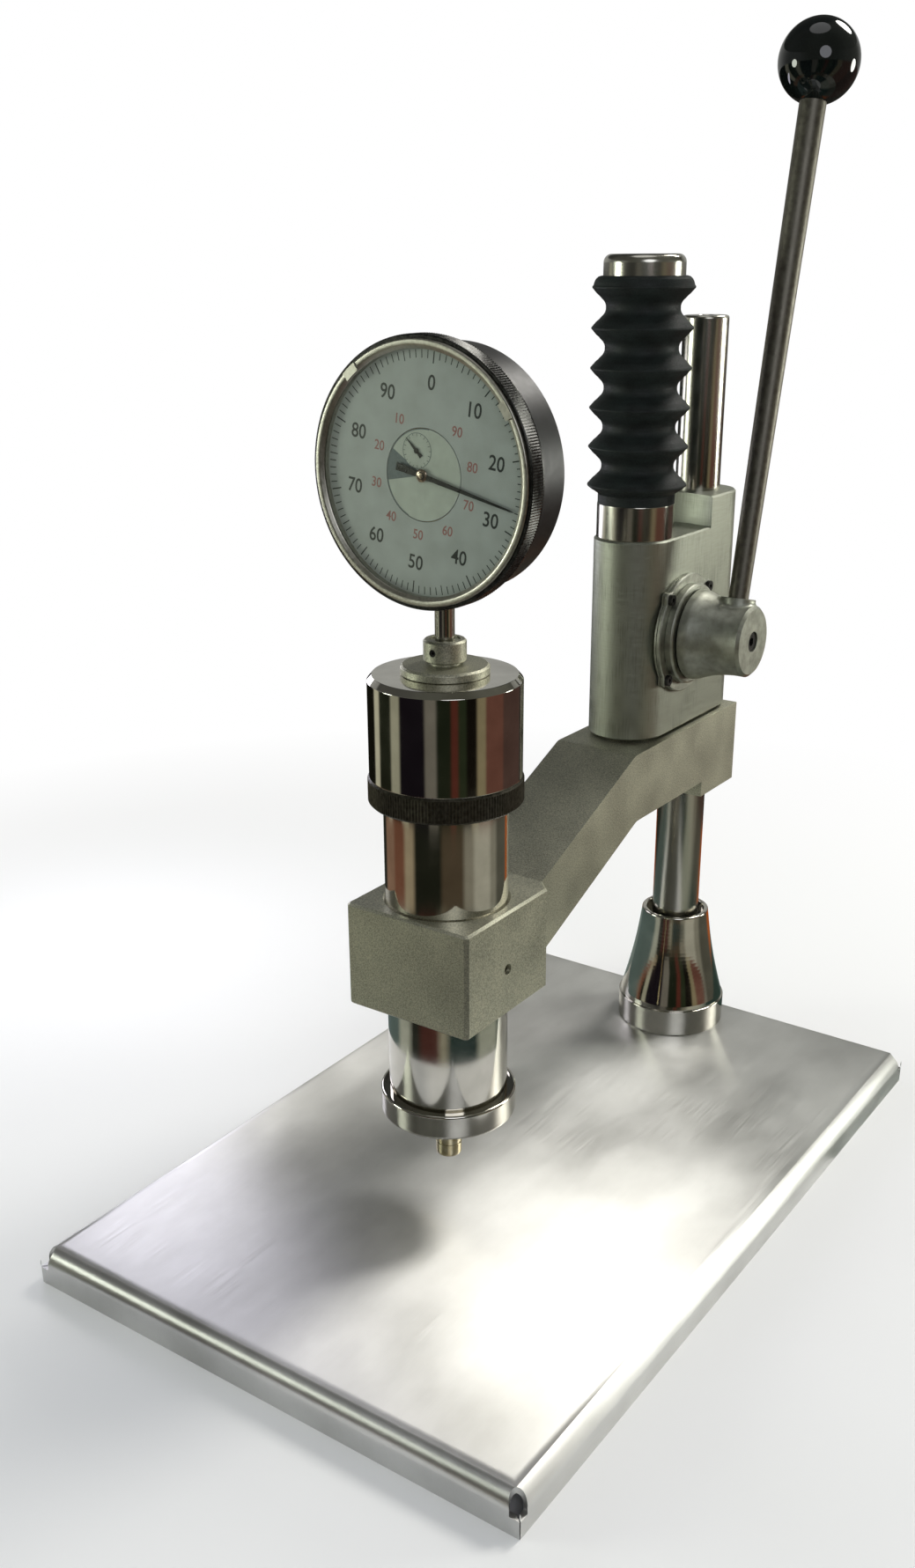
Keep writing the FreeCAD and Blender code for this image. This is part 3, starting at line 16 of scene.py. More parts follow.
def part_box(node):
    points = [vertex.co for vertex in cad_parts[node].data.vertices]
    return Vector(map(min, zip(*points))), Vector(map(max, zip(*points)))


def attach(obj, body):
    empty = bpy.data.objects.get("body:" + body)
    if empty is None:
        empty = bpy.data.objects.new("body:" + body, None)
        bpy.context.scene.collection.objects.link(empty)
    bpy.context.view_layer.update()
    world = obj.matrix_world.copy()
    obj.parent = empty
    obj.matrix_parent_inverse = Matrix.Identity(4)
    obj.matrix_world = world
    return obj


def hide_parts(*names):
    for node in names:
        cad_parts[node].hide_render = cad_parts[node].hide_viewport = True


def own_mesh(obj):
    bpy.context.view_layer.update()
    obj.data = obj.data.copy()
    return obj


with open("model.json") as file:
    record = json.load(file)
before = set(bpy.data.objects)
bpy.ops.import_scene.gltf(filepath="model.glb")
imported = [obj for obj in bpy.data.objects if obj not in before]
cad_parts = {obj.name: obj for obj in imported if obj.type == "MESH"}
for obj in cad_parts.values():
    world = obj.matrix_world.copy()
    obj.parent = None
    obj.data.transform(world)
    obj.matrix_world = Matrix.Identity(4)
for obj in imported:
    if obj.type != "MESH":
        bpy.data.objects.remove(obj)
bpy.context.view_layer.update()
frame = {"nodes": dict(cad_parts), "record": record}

MM = 0.001
nodes = frame["nodes"]
body_of = {n: b for b, members in frame["record"]["behaviour"]["bodies"].items() for n in members}
slot_of = {p["node"]: p["material_slot"] for p in frame["record"]["subparts"]}

# %% [markdown]
# The camera stands where the photographer stood. Its place was worked out from circles and right
# angles in the photo (the dial, the base's corners), so the render can be laid over the photo.
# The focal length is known in pixels. Blender wants it for a sensor 36 mm long, and gives the
# place of the picture's middle as a small shift.

# %% Camera
def camera_axes(azimuth, pitch, roll):
    """The camera's right, up and forward directions from three angles in degrees."""
    a, p, r = (math.radians(v) for v in (azimuth, pitch, roll))
    forward = Vector((-math.sin(a) * math.cos(p), math.cos(a) * math.cos(p), -math.sin(p)))
    level = Vector((math.cos(a), math.sin(a), 0))
    above = level.cross(forward)
    right = level * math.cos(r) + above * math.sin(r)
    up = above * math.cos(r) - level * math.sin(r)
    return right, up, forward


PHOTO_W, PHOTO_H = 1039, 1781
FOCAL_PX = 1697.65
CENTRE_PX = (514.678, 956.676)
CAMERA_AZIMUTH, CAMERA_PITCH, CAMERA_ROLL = 35.270, 21.481, -0.369
CAMERA_AT = (0.33745, -0.529267, 0.420769)
right, up, forward = camera_axes(CAMERA_AZIMUTH, CAMERA_PITCH, CAMERA_ROLL)
lens = bpy.data.cameras.new("camera")
lens.sensor_width = 36.0
lens.lens = FOCAL_PX * lens.sensor_width / PHOTO_H
lens.shift_x = (PHOTO_W / 2 - CENTRE_PX[0]) / PHOTO_H
lens.shift_y = (CENTRE_PX[1] - PHOTO_H / 2) / PHOTO_H
lens.clip_start = 0.01
camera = bpy.data.objects.new("camera", lens)
place = Matrix((right, up, -forward)).transposed().to_4x4()
place.translation = Vector(CAMERA_AT)
camera.matrix_world = place
bpy.context.scene.collection.objects.link(camera)
bpy.context.scene.camera = camera
print("lens", round(lens.lens, 2), "shift", round(lens.shift_x, 4), round(lens.shift_y, 4))

# %% [markdown]
# Every finish is built from nodes. Two small helpers keep that short: one turns a colour written
# as sRGB hex into the linear numbers that Blender mixes, and one adds a node and wires its
# sockets in the same line.

# %% Colours and nodes
def paint(code):
    """An sRGB hex colour as linear red, green, blue and one."""
    rgb = [int(code[i:i + 2], 16) / 255 for i in (1, 3, 5)]
    return [c / 12.92 if c <= 0.04045 else ((c + 0.055) / 1.055) ** 2.4 for c in rgb] + [1]


def add(tree, kind, inputs=None, stops=None, **settings):
    """Add a node: its own settings, then its sockets, each from a value or another socket."""
    node = tree.nodes.new(kind)
    for key, value in settings.items():
        setattr(node, key, value)
    for key, value in (inputs or {}).items():
        if isinstance(value, bpy.types.NodeSocket):
            tree.links.new(value, node.inputs[key])
        else:
            node.inputs[key].default_value = value
    for element, (at, level) in zip(node.color_ramp.elements if stops else (), stops or ()):
        element.position = at
        element.color = level if isinstance(level, list) else (level, level, level, 1)
    return node


print("a middle grey in linear light:", round(paint("#808080")[0], 3))

# %% [markdown]
# Two more start a material, with a shader or empty. One lays noise on the piece at a size in
# millimetres, and the last wires such patterns into colour, roughness and bump. Noise mostly
# stays near its middle, so only that span of it (WIDE, MIDDLE) is spread over the two values.

# %% Patterns and finishes
def empty_tree(owner):
    """The node tree of a material or a world, switched on and cleared."""
    owner.use_nodes = True
    owner.node_tree.nodes.clear()
    return owner.node_tree


def new_finish(name, metal=1.0, **sockets):
    """A material with one Principled shader, bare metal unless told otherwise."""
    material = bpy.data.materials.new(name)
    material.use_nodes = True
    tree = material.node_tree
    shader = tree.nodes["Principled BSDF"]
    for key, value in {"Metallic": metal, **sockets}.items():
        shader.inputs[key].default_value = value
    return material, tree, shader


def grain(tree, size_mm, stretch=(1, 1, 1), detail=3.0):
    """Noise on object coordinates, its spots about size_mm across, longer where stretch is big."""
    where = add(tree, "ShaderNodeTexCoord").outputs["Object"]
    scale = [1.0 / (size_mm * MM * s) for s in stretch]
    laid = add(tree, "ShaderNodeMapping", {"Vector": where, "Scale": scale})
    return add(tree, "ShaderNodeTexNoise", {"Vector": laid.outputs[0], "Scale": 1.0,
                                            "Detail": detail})


def dress(tree, shader, colour, rough, bump=None):
    """Wire patterns into a shader. colour: pattern, dark, light and the span of the pattern that
    they cover; rough: pattern, low, high and span; bump: pattern, depth in mm and strength."""
    pattern, dark, light, span = colour
    ramp = add(tree, "ShaderNodeValToRGB", {"Fac": pattern},
               stops=((span[0], paint(dark)), (span[1], paint(light))))
    tree.links.new(ramp.outputs[0], shader.inputs["Base Color"])
    pattern, low, high, span = rough
    spread = add(tree, "ShaderNodeMapRange", {"Value": pattern, "From Min": span[0],
                                              "From Max": span[1], "To Min": low, "To Max": high})
    tree.links.new(spread.outputs[0], shader.inputs["Roughness"])
    if bump:
        pattern, depth_mm, strength = bump
        hills = add(tree, "ShaderNodeBump", {"Height": pattern, "Distance": depth_mm * MM,
                                             "Strength": strength})
        tree.links.new(hills.outputs[0], shader.inputs["Normal"])


WIDE, MIDDLE = (0.3, 0.7), (0.35, 0.65)
print("helpers for finishes ready")

# %% [markdown]
# The base is stainless sheet with a brushed finish: grit lines along the sheet, and cloudy
# patches where hands and cloths have left the grain duller. The clouds are 55 mm across, in
# colour and roughness. Real grit lines are hardly 0.1 mm wide, so they are drawn 0.5 mm wide to
# show at all. Brushed metal blurs what it mirrors far more across its lines than along them:
# that is the shader's anisotropy, and the tangent tells it which way the wide blur runs.

# %% Brushed stainless sheet
brushed_sheet, tree, shader = new_finish("brushed_stainless_sheet")
clouds = grain(tree, 55, (1, 1.6, 1), detail=5.0).outputs[0]
grit = grain(tree, 0.5, (1, 60, 1), detail=2.0).outputs[0]
both = add(tree, "ShaderNodeMath", {0: clouds, 1: grit}, operation="ADD").outputs[0]
dress(tree, shader, (clouds, "#bcbcb9", "#e5e5e3", WIDE), (both, 0.36, 0.48, (0.75, 1.25)),
      bump=(grit, 0.02, 1.0))
shader.inputs["Anisotropic"].default_value = 0.88
across = add(tree, "ShaderNodeVectorTransform", {"Vector": (1, 0, 0)}, vector_type="VECTOR",
             convert_from="OBJECT", convert_to="WORLD")
tree.links.new(across.outputs[0], shader.inputs["Tangent"])
print("base:", brushed_sheet.name)

# %% [markdown]
# The arm and its head block are steel that was machined and then blasted: a warm, greenish grey
# with a fine sparkle, because each dent of the blast tilts a little mirror. The sparkle is a noise
# about half a millimetre across, coarser than the real dents so that it shows: in the bump it tilts
# the surface, and in the colour it is painted glints, specks of lighter grey. Broad patches 24 mm
# across change the gloss a little.

# %% Satin machined steel
satin, tree, shader = new_finish("satin_blasted_steel")
speck = grain(tree, 0.55, detail=2.0).outputs[0]
patch = grain(tree, 24, detail=3.0).outputs[0]
mixed = add(tree, "ShaderNodeMath", {0: patch, 1: 0.3, 2: speck}, operation="MULTIPLY_ADD")
# The lighter specks in this colour are painted glints; the patches are tone.
dress(tree, shader, (mixed.outputs[0], "#99998b", "#c9c8b4", (0.50, 0.80)),
      (patch, 0.47, 0.53, MIDDLE), bump=(speck, 0.05, 0.8))
print("arm:", satin.name)

# %% [markdown]
# The housing's round front throws one long soft stripe, crossed by fine marks of the cutter. So
# its faint streaks run along Z, 18 times longer than wide, and the cutter's marks lie flat
# round it, in the roughness and the bump.

# %% Brushed housing steel
brushed_steel, tree, shader = new_finish("brushed_housing_steel")
lines = grain(tree, 0.6, (1, 1, 18), detail=3.0).outputs[0]
cross = grain(tree, 1.2, (6, 6, 0.6), detail=4.0).outputs[0]
patch = grain(tree, 20, detail=3.0).outputs[0]
mixed = add(tree, "ShaderNodeMath", {0: lines, 1: patch}, operation="ADD").outputs[0]
dress(tree, shader, (mixed, "#7f8377", "#a0a396", (0.55, 1.45)), (cross, 0.42, 0.54, MIDDLE),
      bump=(cross, 0.02, 0.7))
print("housing:", brushed_steel.name)

# %% [markdown]
# Polished pieces are mirrors: the head's barrel and cap, the post's socket. Their look comes from
# what stands round them, so the material only adds the thin haze of wiping. Pieces that were
# ground but not polished blur the mirror more. Bump would break such mirrors into noise.

# %% Mirror polished and ground steel
mirror, tree, shader = new_finish("mirror_polished_steel")
haze = grain(tree, 14, detail=4.0).outputs[0]
dress(tree, shader, (haze, "#b9b6ad", "#cfccc3", WIDE), (haze, 0.05, 0.10, MIDDLE))

ground, tree, shader = new_finish("ground_turned_steel")
haze = grain(tree, 10, (1, 1, 6), detail=3.0).outputs[0]
dress(tree, shader, (haze, "#a9a79d", "#bfbdb3", WIDE), (haze, 0.17, 0.25, MIDDLE))
print("turned:", mirror.name, ground.name)

# %% [markdown]
# The lever's hub and the flange behind it look cast and then fettled, that is filed and blasted:
# soft dents a few millimetres apart on a satin skin.

# %% Cast hub steel
cast, tree, shader = new_finish("fettled_cast_steel")
dents = grain(tree, 4.5, detail=4.0).outputs[0]
speck = grain(tree, 0.5, detail=2.0).outputs[0]
dress(tree, shader, (dents, "#8e9085", "#b0b2a6", WIDE), (speck, 0.42, 0.52, MIDDLE),
      bump=(dents, 0.10, 0.7))
print("castings:", cast.name)

# %% [markdown]
# Dark metals: screws with an oil-black oxide, a lock ring blackened over its knurl, and the black
# enamel of the gauge. All keep a little of the steel's shine at their edges.

# %% Dark metals
def spotted(name, dark, light, size_mm, rough, depth_mm=0.0, **sockets):
    """A finish with one noise, size_mm across, in colour, roughness and, if asked, bump."""
    material, tree, shader = new_finish(name, **sockets)
    spots = grain(tree, size_mm).outputs[0]
    dress(tree, shader, (spots, dark, light, WIDE), (spots, *rough, MIDDLE),
          bump=(spots, depth_mm, 0.5) if depth_mm else None)
    return material


oxide = spotted("black_oxide_screws", "#1c1c1a", "#34332f", 0.8, (0.36, 0.55), metal=0.7)
blackened = spotted("blackened_knurled_steel", "#2c2a20", "#47443a", 1.5, (0.34, 0.5),
                    metal=0.85)
enamel = spotted("black_gauge_enamel", "#0c0c0b", "#141413", 3.0, (0.40, 0.46), metal=0.0,
                 IOR=1.5)
black_steel = spotted("blackened_bezel_metal", "#1a1a18", "#2e2e2a", 2.0, (0.22, 0.34),
                      metal=0.75)
print("dark metals:", oxide.name, blackened.name, enamel.name, black_steel.name)

# %% [markdown]
# The bellows are moulded nitrile rubber: nearly black with a cold green cast, matt, with a fine
# pebble from the mould and paler bands of dust, 9 mm wide, that lie round the pleats.

# %% Moulded rubber
rubber, tree, shader = new_finish("moulded_nitrile_rubber", metal=0.0, IOR=1.42)
pebble = grain(tree, 0.7, detail=3.0).outputs[0]
dust = grain(tree, 9, (1, 1, 0.5), detail=4.0).outputs[0]
dress(tree, shader, (dust, "#08100e", "#15201d", WIDE), (pebble, 0.54, 0.70, MIDDLE),
      bump=(pebble, 0.04, 0.6))
print("rubber:", rubber.name)

# %% [markdown]
# The knob is turned phenolic resin, buffed until lamps show in it as sharp shapes. Its gloss
# changes a little every 12 mm, which keeps it from looking like computed glass.

# %% Buffed phenolic
phenolic, tree, shader = new_finish("buffed_black_phenolic", metal=0.0, IOR=1.58)
wave = grain(tree, 12, detail=1.0).outputs[0]
dress(tree, shader, (wave, "#070b0a", "#0d1211", WIDE), (wave, 0.03, 0.07, MIDDLE))
print("knob:", phenolic.name)

# %% [markdown]
# Small metal finishes: satin aluminium of the dial's inner ring, turned bronze bushes, rolled
# brass plate, drawn spring wire, the hard lapped indenter, the dull rod of the lever and the
# lacquered copper dome of the pointer. Each has one noise of a size that its making leaves.

# %% Small metal finishes
silver = spotted("satin_ring_aluminium", "#a8a69b", "#bdbbb0", 1.2, (0.30, 0.42))
bronze = spotted("turned_bronze", "#8a6a3c", "#a9854f", 2.0, (0.28, 0.42))
brass = spotted("rolled_brass", "#a68a4e", "#c0a364", 3.0, (0.30, 0.42))
spring_wire = spotted("drawn_spring_steel", "#85847d", "#a3a29a", 0.8, (0.24, 0.36))
carbide = spotted("lapped_indenter_steel", "#c9b98f", "#e6dcbc", 2.5, (0.10, 0.20))
dull_steel = spotted("dull_turned_steel", "#66635a", "#7b786e", 2.5, (0.42, 0.54))
copper = spotted("lacquered_copper_hub", "#a8917f", "#c9b5a5", 1.0, (0.16, 0.26))
print("metals:", silver.name, bronze.name, brass.name, spring_wire.name, carbide.name)

# %% [markdown]
# The dial is sheet metal under a greyish enamel, printed in black, red and grey ink. The prints
# are thin meshes of their own, so each ink is a plain colour with a slight grain. The pointer is
# lacquered black, a little glossier than ink.

# %% Dial enamel, inks and lacquer
dial_white = spotted("dial_enamel", "#8a8d85", "#969991", 9.0, (0.38, 0.5), 0.006, metal=0.0)
ink_black = spotted("black_print_ink", "#0e100e", "#171917", 0.6, (0.4, 0.55), metal=0.0)
ink_red = spotted("red_print_ink", "#7d4a43", "#8a5850", 0.6, (0.4, 0.55), metal=0.0)
ink_grey = spotted("grey_print_ink", "#4d5654", "#5a6360", 0.8, (0.4, 0.55), metal=0.0)
ink_pale = spotted("pale_print_ink", "#949889", "#9fa394", 5.0, (0.4, 0.55), metal=0.0)
pointer_lacquer = spotted("black_pointer_lacquer", "#0d0e0d", "#191a18", 1.5, (0.26, 0.4),
                          metal=0.2)
print("dial:", dial_white.name, ink_black.name, ink_red.name, ink_grey.name, ink_pale.name)

# %% [markdown]
# The crystal is a clear acrylic disc. A glass shader blocks the lamps and leaves the dial in
# shadow, so this one lets light straight through, and its faces mirror a little, more at a
# slant. Only faces seen from outside mirror: on the way out, Fresnel would turn the disc black.

# %% Crystal
crystal = bpy.data.materials.new("clear_acrylic_crystal")
tree = empty_tree(crystal)
slant = add(tree, "ShaderNodeFresnel", {"IOR": 1.49})
behind = add(tree, "ShaderNodeNewGeometry").outputs["Backfacing"]
front = add(tree, "ShaderNodeMath", {0: 1.0, 1: behind}, operation="SUBTRACT")
shine = add(tree, "ShaderNodeMath", {0: slant.outputs[0], 1: front.outputs[0]},
            operation="MULTIPLY")
clear = add(tree, "ShaderNodeBsdfTransparent", {"Color": (0.96, 0.98, 0.97, 1)})
gloss = add(tree, "ShaderNodeBsdfGlossy", {"Roughness": 0.03, "Color": (1, 1, 1, 1)})
pane = add(tree, "ShaderNodeMixShader",
           {0: shine.outputs[0], 1: clear.outputs[0], 2: gloss.outputs[0]})
add(tree, "ShaderNodeOutputMaterial", {"Surface": pane.outputs[0]})
crystal.surface_render_method = "BLENDED"
print("crystal:", crystal.name)

# %% [markdown]
# The record gives each CAD node a material slot. One table says which finish a slot gets, a
# second one lists the nodes that differ. Pieces that get a mesh of their own take the same.

# %% Finish by slot
by_slot = {
    "stainless_sheet": brushed_sheet, "satin_steel": satin, "polished_steel": mirror,
    "ground_steel": ground, "bronze": bronze, "black_oxide": oxide, "dark_ring": blackened,
    "black_rubber": rubber, "knob_plastic": phenolic, "spring_steel": spring_wire,
    "gauge_black": enamel, "ring_silver": silver, "crystal": crystal, "dial_paint": dial_white,
    "pointer_black": pointer_lacquer, "brass": brass,
}
by_node = {
    "housing": brushed_steel, "lever_hub": cast, "bearing_flange": cast, "bearing_cover": cast,
    "indenter": carbide, "bezel": black_steel, "column_socket": mirror, "guide_ring": ground,
    "ram_cap": ground, "head_set_screw": ground, "gauge_holder": satin, "clamp_collar": satin,
    "push_rod_guides": bronze, "base_stiffener": brushed_sheet,
}


def finish_of(node):
    """The finish of a CAD node: its own, or else its slot's."""
    return by_node.get(node, by_slot[slot_of[node]])


for name, node in nodes.items():
    node.data.materials.clear()
    node.data.materials.append(finish_of(name))
print("finishes:", len(bpy.data.materials))

# %% [markdown]
# Every mesh is welded, turned, moved and then settled into an object: its faces are shaded
# smooth, except across the edges that turn sharply.

# %% Points and objects
def weld(mesh, dist=1e-6):
    """Merge points that lie together, and turn every face outwards."""
    bmesh.ops.remove_doubles(mesh, verts=mesh.verts, dist=dist)
    bmesh.ops.recalc_face_normals(mesh, faces=mesh.faces)


def turn_by(mesh, degrees, axis, verts):
    """Turn points round an axis through the origin."""
    bmesh.ops.rotate(mesh, cent=(0, 0, 0), verts=verts,
                     matrix=Matrix.Rotation(math.radians(degrees), 3, axis))


def move_by(mesh, offset_mm, verts):
    """Move points by an offset in mm."""
    bmesh.ops.translate(mesh, vec=Vector(offset_mm) * MM, verts=verts)


SHARP = 32.0


def settle(mesh, name, material, smooth=SHARP):
    """Finish a bmesh into an object: smooth faces, sharp edges where they turn by more."""
    for face in mesh.faces:
        face.smooth = True
    for edge in mesh.edges:
        if len(edge.link_faces) == 2:
            edge.smooth = edge.calc_face_angle(0.0) < math.radians(smooth)
    data = bpy.data.meshes.new(name)
    mesh.to_mesh(data)
    mesh.free()
    data.materials.append(material)
    piece = bpy.data.objects.new(name, data)
    bpy.context.scene.collection.objects.link(piece)
    return piece


print("edges are sharp from", SHARP, "degrees")

# %% [markdown]
# A piece rides on a body. The simplest piece is a skin: a welded copy of a CAD node with its edges
# rounded a little, because no machined edge is a knife edge and the rounding catches the light.

# %% Mounts and skins
def mount(piece, body, slot, *replaced):
    """Put a piece on its body and hide the CAD nodes that it stands for; slot is not used."""
    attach(piece, body)
    if replaced:
        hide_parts(*replaced)
    return piece


def skin(node, round_mm):
    """A welded copy of a CAD node with softly rounded edges, in the node's place."""
    mesh = bmesh.new()
    mesh.from_mesh(nodes[node].data)
    bmesh.ops.remove_doubles(mesh, verts=mesh.verts, dist=2e-6)
    bmesh.ops.dissolve_limit(mesh, angle_limit=math.radians(0.3), verts=mesh.verts,
                             edges=mesh.edges)
    piece = settle(mesh, node + "_skin", finish_of(node))
    bevel = piece.modifiers.new("edge_round", "BEVEL")
    bevel.width = round_mm * MM
    bevel.segments = 2
    bevel.limit_method = "ANGLE"
    bevel.angle_limit = math.radians(SHARP)
    bevel.harden_normals = True
    return mount(piece, body_of[node], slot_of[node], node)


print("bodies:", sorted(set(body_of.values())))

# %% [markdown]
# A lathe piece is a profile spun round an axis in many steps, for mirrors that must not show
# facets. Most lathe pieces stand upright in the place of a CAD node.

# %% Lathe
LONG_WALL, GUARD = 1.0, 0.12


def lathe(name, profile, centre, axis, steps, material, smooth=SHARP):
    """Turn (radius, height) points in mm round an axis through centre (mm) into a mesh.
    Long walls get a guard point near each end, so that smooth shading leaves their middle flat."""
    mesh = bmesh.new()
    points = [Vector(p) for p in profile]
    profile = []
    for a, b in zip(points, points[1:] + points[:1]):
        profile.append(a)
        if (b - a).length > LONG_WALL and not a.x == b.x == 0:
            guard = (b - a).normalized() * GUARD
            profile += [a + guard, b - guard]
    ring = [mesh.verts.new(Vector((r, 0, h)) * MM) for r, h in profile]
    edges = [mesh.edges.new((a, b)) for a, b in zip(ring, ring[1:])]
    if profile[0][0] > 0 or profile[-1][0] > 0:
        edges.append(mesh.edges.new((ring[-1], ring[0])))
    bmesh.ops.spin(mesh, geom=ring + edges, cent=(0, 0, 0), axis=(0, 0, 1), angle=2 * math.pi,
                   steps=steps, use_merge=True)
    weld(mesh)
    if axis == "y":
        turn_by(mesh, -90, "X", mesh.verts)
    move_by(mesh, centre, mesh.verts)
    return settle(mesh, name, material, smooth)


def stand_in(node, profile, y, steps):
    """An upright lathe piece at y that takes a CAD node's place, body and finish."""
    piece = lathe(node + "_turned", profile, (0, y, 0), "z", steps, finish_of(node))
    return mount(piece, body_of[node], slot_of[node], node)


print("walls longer than", LONG_WALL, "mm get guard points", GUARD, "mm from their ends")

# %% [markdown]
# The flat and milled pieces are skins of their CAD nodes. The arm and its block get 0.7 mm of
# rounding, the sheet-metal pan 0.5 mm, and small covers, collars and the pointer less.

# %% Skins of the machined pieces
for node, width in (("arm", 0.7), ("housing", 0.3), ("bearing_flange", 0.25),
                    ("bearing_cover", 0.3), ("base_pan", 0.5), ("lever_hub", 0.35),
                    ("gauge_case", 0.3), ("left_cover", 0.25), ("clamp_collar", 0.15),
                    ("gauge_holder", 0.15), ("pointer", 0.03), ("gauge_spindle", 0.1)):
    piece = skin(node, width)
    print(piece.name, len(piece.data.polygons))

# %% [markdown]
# Heights and radii that the turned pieces share come from the CAD nodes' own boxes, so the
# pieces follow the solids if those change. Three axes matter: post, ram and measuring head.

# %% Measures from the frame
def spread(node):
    """A node's lowest and highest corner in mm."""
    low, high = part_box(node)
    return low / MM, high / MM


def axis_of(node):
    """The middle of a node's box in mm."""
    low, high = spread(node)
    return ((low.x + high.x) / 2, (low.y + high.y) / 2, (low.z + high.z) / 2)


def reach(node):
    """A turned node's radius, lowest and highest height in mm."""
    low, high = spread(node)
    return (high.x - low.x) / 2, low.z, high.z


COL_Y = axis_of("column")[1]
RAM_Y = axis_of("ram_cap")[1]
HEAD_Y = axis_of("head_cap")[1]
print("post, ram and head at y", round(COL_Y, 2), round(RAM_Y, 2), round(HEAD_Y, 2))

# %% [markdown]
# A turned piece is drawn as a profile: radius and height of each corner, walked once round. A
# rounded corner is a short run of points on an arc, which the next helper gives.

# %% Rounded corners
def arc(cr, cz, radius, start, stop, count=6):
    """Points of a rounded corner in a profile, angles in degrees from the radial direction."""
    points = []
    for k in range(count + 1):
        a = math.radians(start + (stop - start) * k / count)
        points.append((cr + radius * math.cos(a), cz + radius * math.sin(a)))
    return points


print("a quarter round in", len(arc(0, 0, 1, 0, 90)), "points")

# %% [markdown]
# The post is ground bar. Its upper part is a little thinner, from a shoulder inside the housing,
# and its top has a rounded edge and a centre hole. A profile of a dozen points is all it needs.

# %% Post
SHOULDER, UPPER_R, TOP_ROUND = 236.0, 11.0, 1.2
r, z0, z1 = reach("column")
profile = [(0, z0), (r, z0), (r, SHOULDER), (UPPER_R, SHOULDER), (UPPER_R, z1 - TOP_ROUND)]
profile += arc(UPPER_R - TOP_ROUND, z1 - TOP_ROUND, TOP_ROUND, 0, 90, 4)
profile += [(4.0, z1), (2.5, z1 - 1.5), (2.5, z1 - 8), (0, z1 - 9)]
post = stand_in("column", profile, COL_Y, 128)
print(post.name, len(post.data.polygons))

# %% [markdown]
# The socket is a polished cone on a straight band, with a rounded lip and a cup round the post.
# The cone is slightly hollow, so it needs many points: a mirror shows every corner of a profile.
# A sharp little groove parts it from the band and shows as a bright and a dark line.

# %% Post socket
BAND_HIGH, LIP_R, HOLLOW, CONE_STEPS = 15.0, 18.0, 1.1, 24
BORE_R, CUP_DEEP = 12.5, 5.0
r, z0, z1 = reach("column_socket")
band = z0 + BAND_HIGH
profile = [(BORE_R, z0), (r - 0.6, z0)] + arc(r - 0.6, z0 + 0.6, 0.6, -90, 0, 3)
profile += arc(r - 0.5, band - 0.9, 0.5, 0, 90, 3) + [(r - 0.9, band - 0.4), (r - 0.9, band)]
for k in range(1, CONE_STEPS):
    t = k / CONE_STEPS
    cone_r = r - 0.8 + (LIP_R - r + 0.8) * t - HOLLOW * math.sin(math.pi * t)
    profile.append((cone_r, band + (z1 - 0.7 - band) * t))
profile += arc(LIP_R - 0.8, z1 - 0.8, 0.8, 0, 90, 4) + arc(16.2, z1 - 0.6, 0.6, 90, 180, 3)
profile += [(14.8, z1 - CUP_DEEP), (BORE_R, z1 - CUP_DEEP)]
socket = stand_in("column_socket", profile, COL_Y, 160)
print(socket.name, len(profile), "profile points")

# %% [markdown]
# The measuring head stacks four turned pieces on one axis: nose ring, barrel, lock ring and cap.
# Barrel, nose ring and cap are mirrors, so they get 192 steps, and small rounded corners hold a
# bright line. The barrel's foot is turned down by 2 mm, and the nose ring screws on there.

# %% Barrel and nose ring
HEAD_STEPS = 192
BARREL_BORE, FOOT_HIGH, FOOT_STEP = 20.0, 7, 2
r, z0, z1 = reach("head_barrel")
profile = [(BARREL_BORE, z0), (r - FOOT_STEP, z0), (r - FOOT_STEP, z0 + FOOT_HIGH),
           (r, z0 + FOOT_HIGH), (r, z1), (BARREL_BORE, z1)]
barrel = stand_in("head_barrel", profile, HEAD_Y, HEAD_STEPS)

TIP_HOLE, SEAT_R, FLOOR_THICK = 5.9, 24.1, 3.7
r, z0, z1 = reach("nose_ring")
profile = [(TIP_HOLE, z0 + 0.8), (TIP_HOLE + 0.8, z0), (r - 1.4, z0)]
profile += arc(r - 1.4, z0 + 1.4, 1.4, -90, 0, 5) + arc(r - 1.0, z1 - 1.0, 1.0, 0, 90, 5)
profile += [(r - 1.8, z1), (r - 1.8, z1 - 0.8), (SEAT_R, z1 - 0.8), (SEAT_R, z0 + FLOOR_THICK),
            (TIP_HOLE, z0 + FLOOR_THICK)]
nose = stand_in("nose_ring", profile, HEAD_Y, HEAD_STEPS)
print(barrel.name, nose.name, "radius", round(r, 2))

# %% [markdown]
# The head's cap is the darkest mirror, because it stands high and shows the far room. Its rim
# has a flat 2 mm bevel, so the edge is a ring of light between the dark side and the pale top.

# %% Head cap
BARREL_R, CAP_HOLE, CAP_BORE, TOP_THICK, SKIRT = 26.1, 6.2, 22.0, 8.0, 9.0
r, _, z1 = reach("head_cap")
z0 = spread("lock_ring")[1].z
profile = [(BARREL_R, z0), (r - 0.4, z0)] + arc(r - 0.4, z0 + 0.4, 0.4, -90, 0, 3)
profile += [(r, z1 - 2.5), (r - 0.1, z1 - 2.3), (r - 1.95, z1 - 0.08), (r - 2.2, z1)]
profile += [(CAP_HOLE, z1), (CAP_HOLE, z1 - TOP_THICK), (CAP_BORE, z1 - TOP_THICK),
            (CAP_BORE, z0 + SKIRT), (BARREL_R, z0 + SKIRT)]
cap_mirror = stand_in("head_cap", profile, HEAD_Y, HEAD_STEPS)
print(cap_mirror.name, "height", round(z1 - z0, 2))

# %% [markdown]
# A knurl is rolled: rows of little ridges that a finger grips. Bump could fake it, but then the
# ring's edge would stay smooth. So a circle is pulled up from level to level by extruding its
# edges, and where a level is knurled, every other corner moves inwards.

